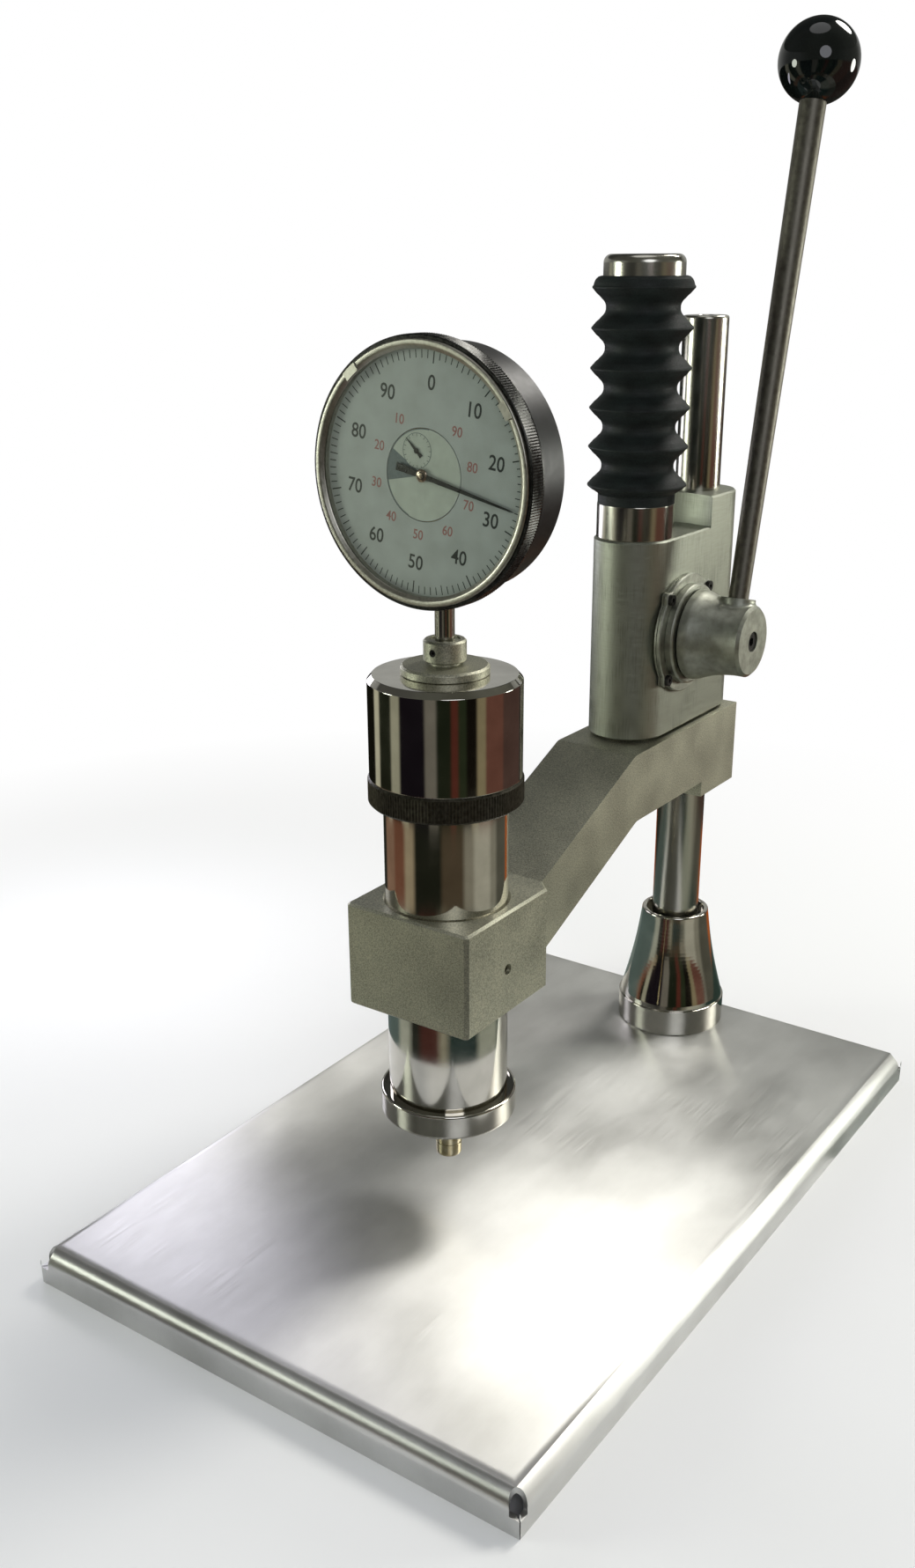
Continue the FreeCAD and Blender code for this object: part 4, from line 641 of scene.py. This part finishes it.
# %% Knurled rings
def knurled(name, levels, teeth, depth, centre, axis, material):
    """A shell from (radius, height, knurled) levels; knurled levels have teeth cut inwards."""
    mesh = bmesh.new()
    step = math.pi / teeth

    def place(verts, level):
        """Put points on a level, every other one further in where it is knurled."""
        r, h, cut = level
        for v in verts:
            a = math.atan2(v.co.y, v.co.x)
            inwards = depth if cut and round(a / step) % 2 else 0.0
            v.co = Vector(((r - inwards) * math.cos(a), (r - inwards) * math.sin(a), h)) * MM

    verts = bmesh.ops.create_circle(mesh, cap_ends=False, segments=teeth * 2, radius=MM)["verts"]
    place(verts, levels[0])
    edges = mesh.edges[:]
    for level in levels[1:] + levels[:1]:
        grown = bmesh.ops.extrude_edge_only(mesh, edges=edges)["geom"]
        edges = [g for g in grown if isinstance(g, bmesh.types.BMEdge)]
        place([g for g in grown if isinstance(g, bmesh.types.BMVert)], level)
    weld(mesh)
    if axis == "y":
        turn_by(mesh, 90, "X", mesh.verts)
    move_by(mesh, centre, mesh.verts)
    return settle(mesh, name, material, smooth=25.0)


r, z0, z1 = reach("lock_ring")
levels = [(BARREL_R, z0, False), (r - 0.9, z0, False), (r, z0 + 0.9, True),
          (r, z1 - 0.9, True), (r - 0.9, z1, False), (BARREL_R, z1, False)]
lock = knurled("lock_ring_knurled", levels, 150, 0.3, (0, HEAD_Y, 0), "z", blackened)
mount(lock, "carriage", "dark_ring", "lock_ring")
print("lock ring faces", len(lock.data.polygons))

# %% [markdown]
# The ram's guide ring stands on the housing and holds the bellows on a thin collar. The ram's
# cap closes the bellows at the top, with a well for its screw. Both are ground, not polished,
# so their reflections run into soft streaks.

# %% Guide ring and ram cap
GUIDE_R, RAM_R, STEP_BELOW_TOP, SHELF = 18.0, 11.05, 14.5, 5
COLLAR_R, COLLAR_BORE, COLLAR_HIGH = 16.0, 14.5, 4.3
r, z0, z1 = GUIDE_R, spread("housing")[1].z - STEP_BELOW_TOP, spread("bellows")[0].z
profile = [(RAM_R, z0 + SHELF), (RAM_R, z0), (r - 0.3, z0)]
profile += arc(r - 0.3, z0 + 0.3, 0.3, -90, 0, 2) + arc(r - 0.3, z1 - 0.3, 0.3, 0, 90, 2)
profile += [(COLLAR_R, z1), (COLLAR_R, z1 + COLLAR_HIGH), (COLLAR_BORE, z1 + COLLAR_HIGH),
            (COLLAR_BORE, z0 + SHELF)]
guide = stand_in("guide_ring", profile, RAM_Y, 144)

SCREW_R, WELL_R, WELL_DEEP, CAP_ROUND = 4.05, 7.0, 5.5, 3.5
r, z0, z1 = reach("ram_cap")
profile = [(SCREW_R, z0), (r, z0)] + arc(r - CAP_ROUND, z1 - CAP_ROUND, CAP_ROUND, 0, 90, 9)
profile += arc(WELL_R + 0.4, z1 - 0.4, 0.4, 90, 180, 3)
profile += [(WELL_R, z1 - WELL_DEEP), (SCREW_R, z1 - WELL_DEEP)]
ram_cap = stand_in("ram_cap", profile, RAM_Y, 144)
print(guide.name, ram_cap.name, "at y", round(RAM_Y, 2))

# %% [markdown]
# The bellows are a rubber tube with six pleats. Each pleat is a soft ridge and a soft valley, and
# faint creases run along every flank, where the rubber has folded before. A screw modifier could
# turn a few points, but the creases need a flank of their own, so a helper draws one.

# %% Flank of a pleat
END_R, NECK_R, RIDGE_R = 17.8, 16.6, 22.9
FIRST_RIDGE, PITCH, RIDGES = 320.9, 17.17, 6
CREASE, S_SHARE, FLANK_STEPS = 0.16, 0.35, 10


def flank(r0, z0, r1, z1):
    """One side of a pleat: a slight S from valley to ridge with three faint creases."""
    points = []
    for k in range(1, FLANK_STEPS):
        t = k / FLANK_STEPS
        ease = t * t * (3 - 2 * t) * S_SHARE + t * (1 - S_SHARE)
        crease = CREASE * math.sin(3 * math.pi * t) ** 2 * math.sin(math.pi * t)
        points.append((r0 + (r1 - r0) * ease - crease, z0 + (z1 - z0) * t))
    return points


print("points on a flank:", len(flank(NECK_R, 0, RIDGE_R, PITCH / 2)))

# %% [markdown]
# The outer wall walks up over all six pleats.

# %% Bellows
WALL, CUFF_R, CUFF_HIGH = 1.3, 16.05, 4.7
low, high = (corner.z for corner in spread("bellows"))
outside = [(END_R, low)] + arc(END_R - 0.4, low + 3.9, 0.4, 0, 40, 2)
for k in range(RIDGES):
    z = FIRST_RIDGE + k * PITCH
    valley = z - PITCH / 2
    if k == 0:
        outside += flank(END_R, low + 4.2, RIDGE_R - 0.55, z - 0.75)
    else:
        outside += [(NECK_R + 0.25, valley - 1.7), (NECK_R, valley - 0.8),
                    (NECK_R, valley + 0.8), (NECK_R + 0.25, valley + 1.7)]
        outside += flank(NECK_R + 0.3, valley + 1.9, RIDGE_R - 0.55, z - 0.75)
    outside += [(RIDGE_R - 0.5, z - 0.75), (RIDGE_R - 0.12, z - 0.4), (RIDGE_R, z),
                (RIDGE_R - 0.12, z + 0.4), (RIDGE_R - 0.5, z + 0.75)]
    if k < RIDGES - 1:
        outside += flank(RIDGE_R - 0.55, z + 0.75, NECK_R + 0.3, z + PITCH / 2 - 1.9)
outside += [(RIDGE_R - 0.9, high - 2.6), (RIDGE_R - 1.5, high - 1.4), (RIDGE_R - 2.6, high - 0.4),
            (RIDGE_R - 3.9, high)]
inside = [(min(r - WALL, RIDGE_R - 2.2), z) for r, z in outside[5:-4]]
inside = [(CUFF_R, low), (CUFF_R, low + CUFF_HIGH)] + inside
inside += [(RIDGE_R - 4.6, high - 2.0), (16.0, high - 1.4), (16.0, high)]
bellows = lathe("bellows_moulded", outside + inside[::-1], (0, RAM_Y, 0), "z", 112, rubber,
                smooth=60.0)
mount(bellows, "base", "black_rubber", "bellows")
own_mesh(bellows)

# %% [markdown]
# A spring is a disc spun round an axis while it climbs, which bmesh's spin does with dvec. The two
# springs are hidden in the bellows and the barrel.

# %% Springs
TURN_STEPS = 20


def spring(node, coil_r, wire_r, y, turns):
    """A coil of wire in a CAD spring's place."""
    ends = [corner.z for corner in spread(node)]
    tall = ends[1] - ends[0]
    mesh = bmesh.new()
    disc = bmesh.ops.create_circle(mesh, cap_ends=True, segments=10, radius=wire_r * MM)["verts"]
    turn_by(mesh, 90, "X", disc)
    move_by(mesh, (coil_r, 0, 0), disc)
    steps = turns * TURN_STEPS
    climb = (tall - 2 * wire_r) / steps * MM
    bmesh.ops.spin(mesh, geom=mesh.faces[:], cent=(0, 0, 0), axis=(0, 0, 1), dvec=(0, 0, climb),
                   angle=2 * math.pi * turns, steps=steps, use_merge=False)
    weld(mesh, 1e-7)
    move_by(mesh, (0, y, ends[0] + wire_r), mesh.verts)
    piece = mount(settle(mesh, node + "_wire", spring_wire, 50), body_of[node],
                  slot_of[node], node)
    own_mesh(piece)
    print(piece.name, "turns", turns, "height", round(tall, 2))


spring("return_spring", 13.0, 1.1, RAM_Y, 6)
spring("indenter_spring", 5.6, 0.6, HEAD_Y, 5)

# %% [markdown]
# The lever's rod and knob lean back from the hub. They are turned along Z like everything else,
# then leaned and moved by one matrix that is applied to the mesh, so the objects stay at zero.
# The rod tapers towards the hub and screws into the knob, which has a flat where they meet.

# %% Rod and knob
LEAN = math.radians(11.87)
LEVER_FOOT = Vector((45.5, 113.3, 250.4))
KNOB_AT, KNOB_R, FLAT = 253.7, 17.9, 16.8
ROD_END = KNOB_AT - FLAT
THREAD_R, THREAD_LONG = 4.0, 16.5
lean = Matrix.Translation(LEVER_FOOT * MM) @ Matrix.Rotation(-LEAN, 4, "X")


def leaned(node, profile, steps, material, smooth=SHARP):
    """A lathe piece along the lever, heights counted from the pinion's axis."""
    piece = lathe(node + "_turned", profile, (0, 0, 0), "z", steps, material, smooth)
    piece.data.transform(lean)
    print(piece.name, len(piece.data.polygons))
    return mount(piece, "lever", slot_of[node], node)


leaned("lever_rod", [(0, 9.6), (4.2, 9.6), (4.7, 10.1), (4.7, 19.2), (6.0, ROD_END),
                     (THREAD_R, ROD_END), (THREAD_R, ROD_END + THREAD_LONG - 1),
                     (THREAD_R - 1, ROD_END + THREAD_LONG), (0, ROD_END + THREAD_LONG)],
       96, dull_steel)
flat_r = math.sqrt(KNOB_R ** 2 - FLAT ** 2)
start = -math.degrees(math.acos(flat_r / KNOB_R))
ball = arc(0, KNOB_AT, KNOB_R, start, 90, 64)[:-1] + [(0, KNOB_AT + KNOB_R)]
leaned("lever_knob", [(0, ROD_END + 17), (THREAD_R, ROD_END + 17), (THREAD_R, ROD_END)] + ball,
       128, phenolic, 40)

# %% [markdown]
# The gauge stands on its stem, a thin tube for the spindle. The collar and the holder under it
# keep their CAD shapes as skins, because they have slots. The indenter at the other end has a
# rounded nose with a small flat tip, and a groove that shows where it screws in.

# %% Stem and indenter
SPINDLE_R, TIP_R, NOSE_ROUND = 2.05, 1.6, 1.7
r, z0, z1 = reach("gauge_stem")
profile = [(SPINDLE_R, z0), (r, z0), (r, z1), (SPINDLE_R, z1)]
stem = stand_in("gauge_stem", profile, HEAD_Y, 96)

r, z0, z1 = reach("indenter")
tip = [(0, z0), (TIP_R, z0), (TIP_R, z0 + 0.15), (r - NOSE_ROUND, z0 + 0.15)]
tip += arc(r - NOSE_ROUND, z0 + 0.15 + NOSE_ROUND, NOSE_ROUND, -90, 0, 6)
tip += [(r, z0 + 6.5), (r - 0.25, z0 + 6.7), (r - 0.25, z0 + 7.4), (r, z0 + 7.6), (r, z1), (0, z1)]
indenter = stand_in("indenter", tip, HEAD_Y, 96)
print(stem.name, indenter.name, "tip at", round(z0, 2))

# %% [markdown]
# The bezel is knurled all round its rim, with a smooth lip in front and behind. Its section is
# the CAD one, and the knurl only cuts inwards, so the dial keeps its size. The dial looks along
# -Y, so a lower y is nearer to the reader.

# %% Bezel
DIAL_Z = axis_of("bezel")[2]
FACE_Y = spread("dial_ring")[0].y
SEAT, CRYSTAL_R, RING_R = 47.05, 46.6, 48.9
low, high = spread("bezel")
r, y0, y1 = (high.x - low.x) / 2, low.y, high.y
levels = [(r - 0.5, -y0, False), (r - 0.15, -(y0 + 0.35), False), (r, -(y0 + 0.9), True),
          (r, -(y1 - 1.6), True), (r - 0.35, -(y1 - 1.1), False), (r - 0.35, -(y1 - 0.4), False),
          (r - 0.8, -y1, False), (SEAT, -y1, False), (SEAT, -(FACE_Y + 1.5), False),
          (CRYSTAL_R, -(FACE_Y + 0.6), False), (CRYSTAL_R, -(y0 + 1.6), False),
          (RING_R, -(y0 + 1.6), False), (RING_R, -y0, False)]
rim = knurled("bezel_knurled", levels, 300, 0.28, (0, 0, DIAL_Z), "y", black_steel)
mount(rim, "bezel", "gauge_black", "bezel")

y0 = spread("bezel_ring")[0].y
profile = [(CRYSTAL_R, y0 + 3.2), (RING_R, y0 + 2.6)]
profile += arc(RING_R - 0.7, y0 + 0.7, 0.7, 0, -90, 5) + [(47.2, y0)]
profile += [(CRYSTAL_R, y0 + 0.12), (45.45, y0 + 1.0), (45.3, y0 + 1.2), (45.3, y0 + 1.3),
            (CRYSTAL_R, y0 + 1.3)]
ring_silver = lathe("bezel_ring_turned", profile, (0, 0, DIAL_Z), "y", 192, silver)
mount(ring_silver, "bezel", "ring_silver", "bezel_ring")
print("bezel faces", len(rim.data.polygons), "radius", round(r, 2))

# %% [markdown]
# The dial's print is a stack of thin meshes: tick bars, figures and circles, each a few
# hundredths of a millimetre proud of the enamel. Printing them as geometry keeps every edge
# sharp in any view. Places on the dial are given as degrees clockwise from its top and a radius.

# %% Helpers for print
INK = 0.03
NARROW = 0.92


def bar(mesh, turn, inner, outer, width, level, centre=(0.0, 0.0)):
    """A tick from inner to outer radius at turn degrees clockwise from the top."""
    made = bmesh.ops.create_cube(mesh, size=1.0)["verts"]
    bmesh.ops.scale(mesh, vec=(width * MM, INK * MM, (outer - inner) * MM), verts=made)
    move_by(mesh, (0, 0, (inner + outer) / 2), made)
    turn_by(mesh, turn, "Y", made)
    move_by(mesh, (centre[0], level, DIAL_Z + centre[1]), made)


def figure(word, size, turn, radius, spin, level):
    """A printed number, upright in the dial's own frame, as a flat solid mesh."""
    curve = bpy.data.curves.new("figure", "FONT")
    curve.body = word
    curve.size = size * MM
    curve.align_x = "CENTER"
    curve.align_y = "CENTER"
    curve.extrude = INK / 2 * MM
    curve.offset = size * MM / 90
    curve.resolution_u = 4
    text = bpy.data.objects.new("figure", curve)
    bpy.context.scene.collection.objects.link(text)
    bpy.context.view_layer.update()
    data = bpy.data.meshes.new_from_object(text)
    bpy.data.objects.remove(text)
    a = math.radians(turn)
    spot = Vector((radius * math.sin(a), level, DIAL_Z + radius * math.cos(a))) * MM
    data.transform(Matrix.Rotation(math.pi / 2, 4, "X"))
    data.transform(Matrix.Diagonal((NARROW, 1, 1, 1)))
    data.transform(Matrix.Rotation(math.radians(spin), 4, "Y"))
    data.transform(Matrix.Translation(spot))
    return data


def join_meshes(name, parts, material):
    """One object from several meshes."""
    mesh = bmesh.new()
    for data in parts:
        mesh.from_mesh(data)
    return settle(mesh, name, material)


print("ink is", INK, "mm thick")

# %% [markdown]
# A hundred ticks, every tenth and fifth one longer, and black figures from 0 to 90 clockwise.
# The red figures inside count the other way. The whole scale stands turned by a few degrees, as
# somebody left the bezel, and it rides on the bezel.

# %% Long scale
ZERO_TURN = 7.3
PRINT_Y = FACE_Y - INK / 2
TENS_FROM, FIVES_FROM, ONES_FROM, TICKS_TO = 40.4, 41.2, 41.9, 44.9
BLACK_R, BLACK_SIZE, RED_R, RED_SIZE = 33.4, 7.7, 22.6, 5.2
ticks = bmesh.new()
for k in range(100):
    start = TENS_FROM if k % 10 == 0 else FIVES_FROM if k % 5 == 0 else ONES_FROM
    wide = 0.5 if k % 10 == 0 else 0.36
    bar(ticks, ZERO_TURN + 3.6 * k, start, TICKS_TO, wide, PRINT_Y)
tick_piece = settle(ticks, "dial_ticks", ink_black)
mount(tick_piece, "bezel", "pointer_black")

numbers = [figure(str(10 * k), BLACK_SIZE, ZERO_TURN + 36 * k, BLACK_R, ZERO_TURN, PRINT_Y)
           for k in range(10)]
number_piece = join_meshes("dial_figures", numbers, ink_black)
mount(number_piece, "bezel", "pointer_black")

small = [figure(str(10 * k), RED_SIZE, ZERO_TURN - 36 * k, RED_R, ZERO_TURN, PRINT_Y)
         for k in range(1, 10)]
red_piece = join_meshes("dial_red_figures", small, ink_red)
mount(red_piece, "bezel", "pointer_black")
print("ticks", len(tick_piece.data.polygons), "figures", len(number_piece.data.polygons))

# %% [markdown]
# The middle of the dial belongs to the case: a paler disc with a fine arc round its left side, a
# grey sector on the left, and the small dial with its own disc, circle and ticks. All are bands
# between two radii, so one helper spins them: a closed section all round, or a face part way.

# %% Middle of the dial
SMALL_DIAL_AT = (-2.7, 8.8)
DEGREES_A_STEP = 3


def ring_band(name, inner, outer, level, material, centre=(0.0, 0.0), start=0.0, stop=360.0,
              thick=INK):
    """A flat printed band between two radii, all round or from start to stop degrees."""
    mesh = bmesh.new()
    full = stop - start >= 360
    steps = int((stop - start) / DEGREES_A_STEP)
    corners = [(inner, 0), (outer, 0), (outer, thick), (inner, thick)]
    verts = [mesh.verts.new(Vector((0, b, a)) * MM) for a, b in corners]
    section = mesh.faces.new(verts)
    turn_by(mesh, start, "Y", verts)
    geom = mesh.edges[:] + verts if full else [section]
    if full:
        bmesh.ops.delete(mesh, geom=[section], context="FACES_ONLY")
    bmesh.ops.spin(mesh, geom=geom, cent=(0, 0, 0), axis=(0, 1, 0), steps=steps,
                   angle=math.radians(stop - start), use_merge=full)
    weld(mesh, 1e-7)
    move_by(mesh, (centre[0], level - thick, DIAL_Z + centre[1]), mesh.verts)
    return settle(mesh, name, material)


pieces = [
    ring_band("dial_middle_disc", 0.9, 16.8, FACE_Y + 0.01, ink_pale, thick=0.02),
    ring_band("dial_middle_circle", 16.6, 16.95, FACE_Y - 0.02, ink_grey, start=205, stop=370),
    ring_band("dial_sector", 1.5, 16.7, FACE_Y - 0.02, ink_grey, start=-99.5, stop=-57.0),
    ring_band("small_dial_disc", 0.6, 6.5, FACE_Y - 0.04, ink_pale, SMALL_DIAL_AT, thick=0.02),
    ring_band("small_dial_circle", 6.35, 6.55, FACE_Y - 0.06, ink_grey, SMALL_DIAL_AT),
]
small_ticks = bmesh.new()
for k in range(20):
    bar(small_ticks, 18 * k, 5.2 if k % 2 == 0 else 5.6, 6.3, 0.16, FACE_Y - 0.08, SMALL_DIAL_AT)
pieces.append(settle(small_ticks, "small_dial_ticks", ink_black))
for piece in pieces:
    mount(piece, "carriage", "dial_paint")
    print(piece.name, len(piece.data.polygons))

# %% [markdown]
# The pointer's hub carries a little lacquered copper dome. It is a lathe piece too, its heights
# being places along Y, and it rides on the pointer.

# %% Pointer dome
dome = [(0, -71.9), (0.8, -71.86), (1.7, -71.75), (2.3, -71.5), (2.5, -71.3), (2.5, -71.28),
        (0, -71.28)]
dome_piece = lathe("pointer_dome", dome, (0, 0, DIAL_Z), "y", 48, copper)
mount(dome_piece, "pointer", "pointer_black")
print(dome_piece.name, len(dome_piece.data.polygons))

# %% [markdown]
# The stage: a pale floor that fades into a white background, so that the object keeps its soft
# shadow but the far floor has no horizon. The fade is only for what the camera and the metal
# see; the light on the object stays the same.

# %% Floor and background
def seen(tree):
    """One for rays that are seen, straight, in a mirror or through glass; nought for light."""
    path = add(tree, "ShaderNodeLightPath").outputs
    rays = add(tree, "ShaderNodeMath", {0: path["Is Camera Ray"], 1: path["Is Glossy Ray"]},
               operation="MAXIMUM")
    return add(tree, "ShaderNodeMath", {0: rays.outputs[0], 1: path["Is Transmission Ray"]},
               operation="MAXIMUM").outputs[0]


floor_mesh = bmesh.new()
bmesh.ops.create_circle(floor_mesh, cap_ends=True, segments=96, radius=6.0)
floor = settle(floor_mesh, "floor", bpy.data.materials.new("pale_floor"))

tree = empty_tree(floor.data.materials[0])
where = add(tree, "ShaderNodeTexCoord").outputs["Object"]
distance = add(tree, "ShaderNodeVectorMath", {0: where}, operation="LENGTH").outputs["Value"]
fade = add(tree, "ShaderNodeMapRange", {"Value": distance, "From Min": 0.25, "From Max": 0.75})
share = add(tree, "ShaderNodeMath", {0: seen(tree), 1: fade.outputs[0]}, operation="MULTIPLY")
matt = add(tree, "ShaderNodeBsdfDiffuse", {"Color": paint("#f4f4f2")})
white = add(tree, "ShaderNodeEmission", {"Color": (1, 1, 1, 1), "Strength": 1.0})
mix = add(tree, "ShaderNodeMixShader", {0: share.outputs[0], 1: matt.outputs[0],
                                        2: white.outputs[0]})
add(tree, "ShaderNodeOutputMaterial", {"Surface": mix.outputs[0]})

world = bpy.data.worlds.new("studio")
bpy.context.scene.world = world
tree = empty_tree(world)
room = add(tree, "ShaderNodeBackground", {"Color": paint("#e8ebf0"), "Strength": 0.50})
backdrop = add(tree, "ShaderNodeBackground", {"Color": (1, 1, 1, 1), "Strength": 1.0})
mix = add(tree, "ShaderNodeMixShader", {0: seen(tree), 1: room.outputs[0],
                                        2: backdrop.outputs[0]})
add(tree, "ShaderNodeOutputWorld", {"Surface": mix.outputs[0]})
print(floor.name, world.name)

# %% [markdown]
# The ceiling lamp hangs high behind the object and throws the head's shadow forward. A small
# lamp near the left edge keeps that side of the base bright, two low ones graze the sides, and a
# weak one fills from beside the camera. Every lamp is a disc: place, aim, size, watts, colour.

# %% Lamps
def lamp(name, at, target, size, power, colour):
    """A round area lamp, which the camera doesn't see."""
    data = bpy.data.lights.new(name, "AREA")
    data.shape = "DISK"
    data.size = size
    data.energy = power
    data.color = paint(colour)[:3]
    light = bpy.data.objects.new(name, data)
    aim = (Vector(target) - Vector(at)).to_track_quat("-Z", "Y")
    light.matrix_world = Matrix.Translation(at) @ aim.to_matrix().to_4x4()
    light.visible_camera = False
    bpy.context.scene.collection.objects.link(light)
    print(name, power)


lamp("ceiling_lamp", (0.30, 1.0, 1.32), (0, 0, 0.05), 0.5, 11.6, "#fffcf6")
lamp("window_lamp", (-0.43, 0.10, 0.27), (-0.14, -0.14, 0.02), 0.2, 0.45, "#f2f0ff")
lamp("right_lamp", (1.10, 1.20, 0.35), (0, 0.05, 0.2), 0.5, 7.8, "#fdfff6")
lamp("left_lamp", (-1.25, -0.95, 0.35), (0, 0, 0.2), 0.5, 6.0, "#f8fff0")
lamp("fill_lamp", (0.9, -0.9, 0.9), (0, 0, 0.2), 0.8, 3.8, "#f4f6ff")

# %% [markdown]
# Polished steel shows what stands round it. In a white studio it would be plain white, so
# photographers put dark and coloured cards round it, and so do these cells: rings of card on
# the floor, then a low wall and a slanted canopy that leaves the top open. The bands of colour
# start at so many degrees to the right of the camera, as seen from the head, and blend into
# each other over twice the soft angle.

# %% Card rings
CARD_Z = 0.0004
CARD_STEPS = 96


def card_paint(name, bands, soft):
    """Glowing paint in bands round the head, from (start in degrees, colour)."""
    material = bpy.data.materials.new(name)
    tree = empty_tree(material)
    where = add(tree, "ShaderNodeTexCoord").outputs["Object"]
    round_head = add(tree, "ShaderNodeMapping", {
        "Vector": where, "Location": (0, HEAD_Y * MM, 0),
        "Rotation": (0, 0, math.radians(CAMERA_AZIMUTH - 90))}, vector_type="TEXTURE").outputs[0]
    angle = add(tree, "ShaderNodeTexGradient", {"Vector": round_head}, gradient_type="RADIAL")
    ramp = add(tree, "ShaderNodeValToRGB", {"Fac": angle.outputs["Fac"]})
    ends = [start for start, colour in bands[1:]] + [180]
    stops = []
    for (start, colour), end in zip(bands, ends):
        stops += [(start + soft, colour), (end - soft, colour)]
    while len(ramp.color_ramp.elements) < len(stops):
        ramp.color_ramp.elements.new(1.0)
    for element, (at, colour) in zip(ramp.color_ramp.elements, stops):
        element.position = (at + 180) / 360
        element.color = paint(colour)
    glow = add(tree, "ShaderNodeEmission", {"Color": ramp.outputs[0], "Strength": 1.0})
    add(tree, "ShaderNodeOutputMaterial", {"Surface": glow.outputs[0]})
    return material


def card_ring(name, section, bands, soft):
    """A ring of card round the head from a section of (radius, height) in metres."""
    mesh = bmesh.new()
    line = [mesh.verts.new((r, 0, z)) for r, z in section]
    edges = [mesh.edges.new(pair) for pair in zip(line, line[1:])]
    bmesh.ops.spin(mesh, geom=line + edges, cent=(0, 0, 0), axis=(0, 0, 1), angle=2 * math.pi,
                   steps=CARD_STEPS, use_merge=True)
    move_by(mesh, (0, HEAD_Y, 0), mesh.verts)
    ring = settle(mesh, name, card_paint(name + "_paint", bands, soft))
    ring.visible_camera = False
    ring.visible_diffuse = False
    ring.visible_shadow = False
    ring.visible_transmission = False
    print(name, len(bands), "bands")


# %% [markdown]
# The camera looks down, so an upright cylinder mirrors the floor: the nearest ring shows in the
# lower barrel, the middle one in the barrel, the last one in the cap. What a cylinder shows at a
# share x of its half width stands at an angle of 2 asin(x) from the camera. The bands' starts were
# found that way from the stripes on the real one, and their colours were judged.
# Only glossy rays see the cards: they light nothing and throw no shadow.

# %% Cards for the reflections
near_bands = ((-180, "#5d6c69"), (-101, "#a9ada0"), (-72, "#2e302a"), (-52, "#51322c"),
              (-16, "#8f8b78"), (0, "#2d3b38"), (56, "#a2a698"), (101, "#35453f"), (144, "#7a8782"))
middle_bands = ((-180, "#2a2c26"), (-140, "#8c6f5c"), (-108, "#7a5240"), (-81, "#a3957c"),
                (-60, "#22241c"), (-9, "#54493a"), (31, "#8e8a7c"), (50, "#b4b2a4"),
                (85, "#8d8b7e"), (101, "#5b5a50"), (134, "#b5612f"))
far_bands = ((-180, "#15150f"), (-126, "#c9c7b0"), (-112, "#23261c"), (-86, "#a9a894"),
             (-70, "#1a161b"), (-30, "#77736a"), (-13, "#20251a"), (8, "#5a2f26"),
             (18, "#2c3323"), (30, "#16130f"), (46, "#8f8468"), (60, "#6f4a3f"),
             (92, "#54403a"), (137, "#3d3a34"))
wall_bands = ((-180, "#b2b3b0"), (-130, "#7b7b79"), (-60, "#5c5d56"), (0, "#57574f"),
              (60, "#72726a"), (130, "#b2b3b0"))
canopy_bands = ((-180, "#3f403e"), (-130, "#555551"), (-60, "#5c5d56"), (0, "#57574f"),
                (60, "#66665e"), (130, "#3f403e"))
card_ring("near_cards", ((0.20, CARD_Z), (0.40, CARD_Z)), near_bands, 6)
card_ring("middle_cards", ((0.40, CARD_Z), (0.57, CARD_Z)), middle_bands, 4)
card_ring("far_cards", ((0.57, CARD_Z), (2.4, CARD_Z), (2.4, 0.4)), far_bands, 2)
card_ring("wall", ((2.4, 0.4), (2.4, 1.3)), wall_bands, 15)
card_ring("canopy", ((2.4, 1.3), (1.6, 2.5), (0.9, 3.0)), canopy_bands, 15)

# %% Finish
bpy.context.scene.view_settings.view_transform = "Standard"
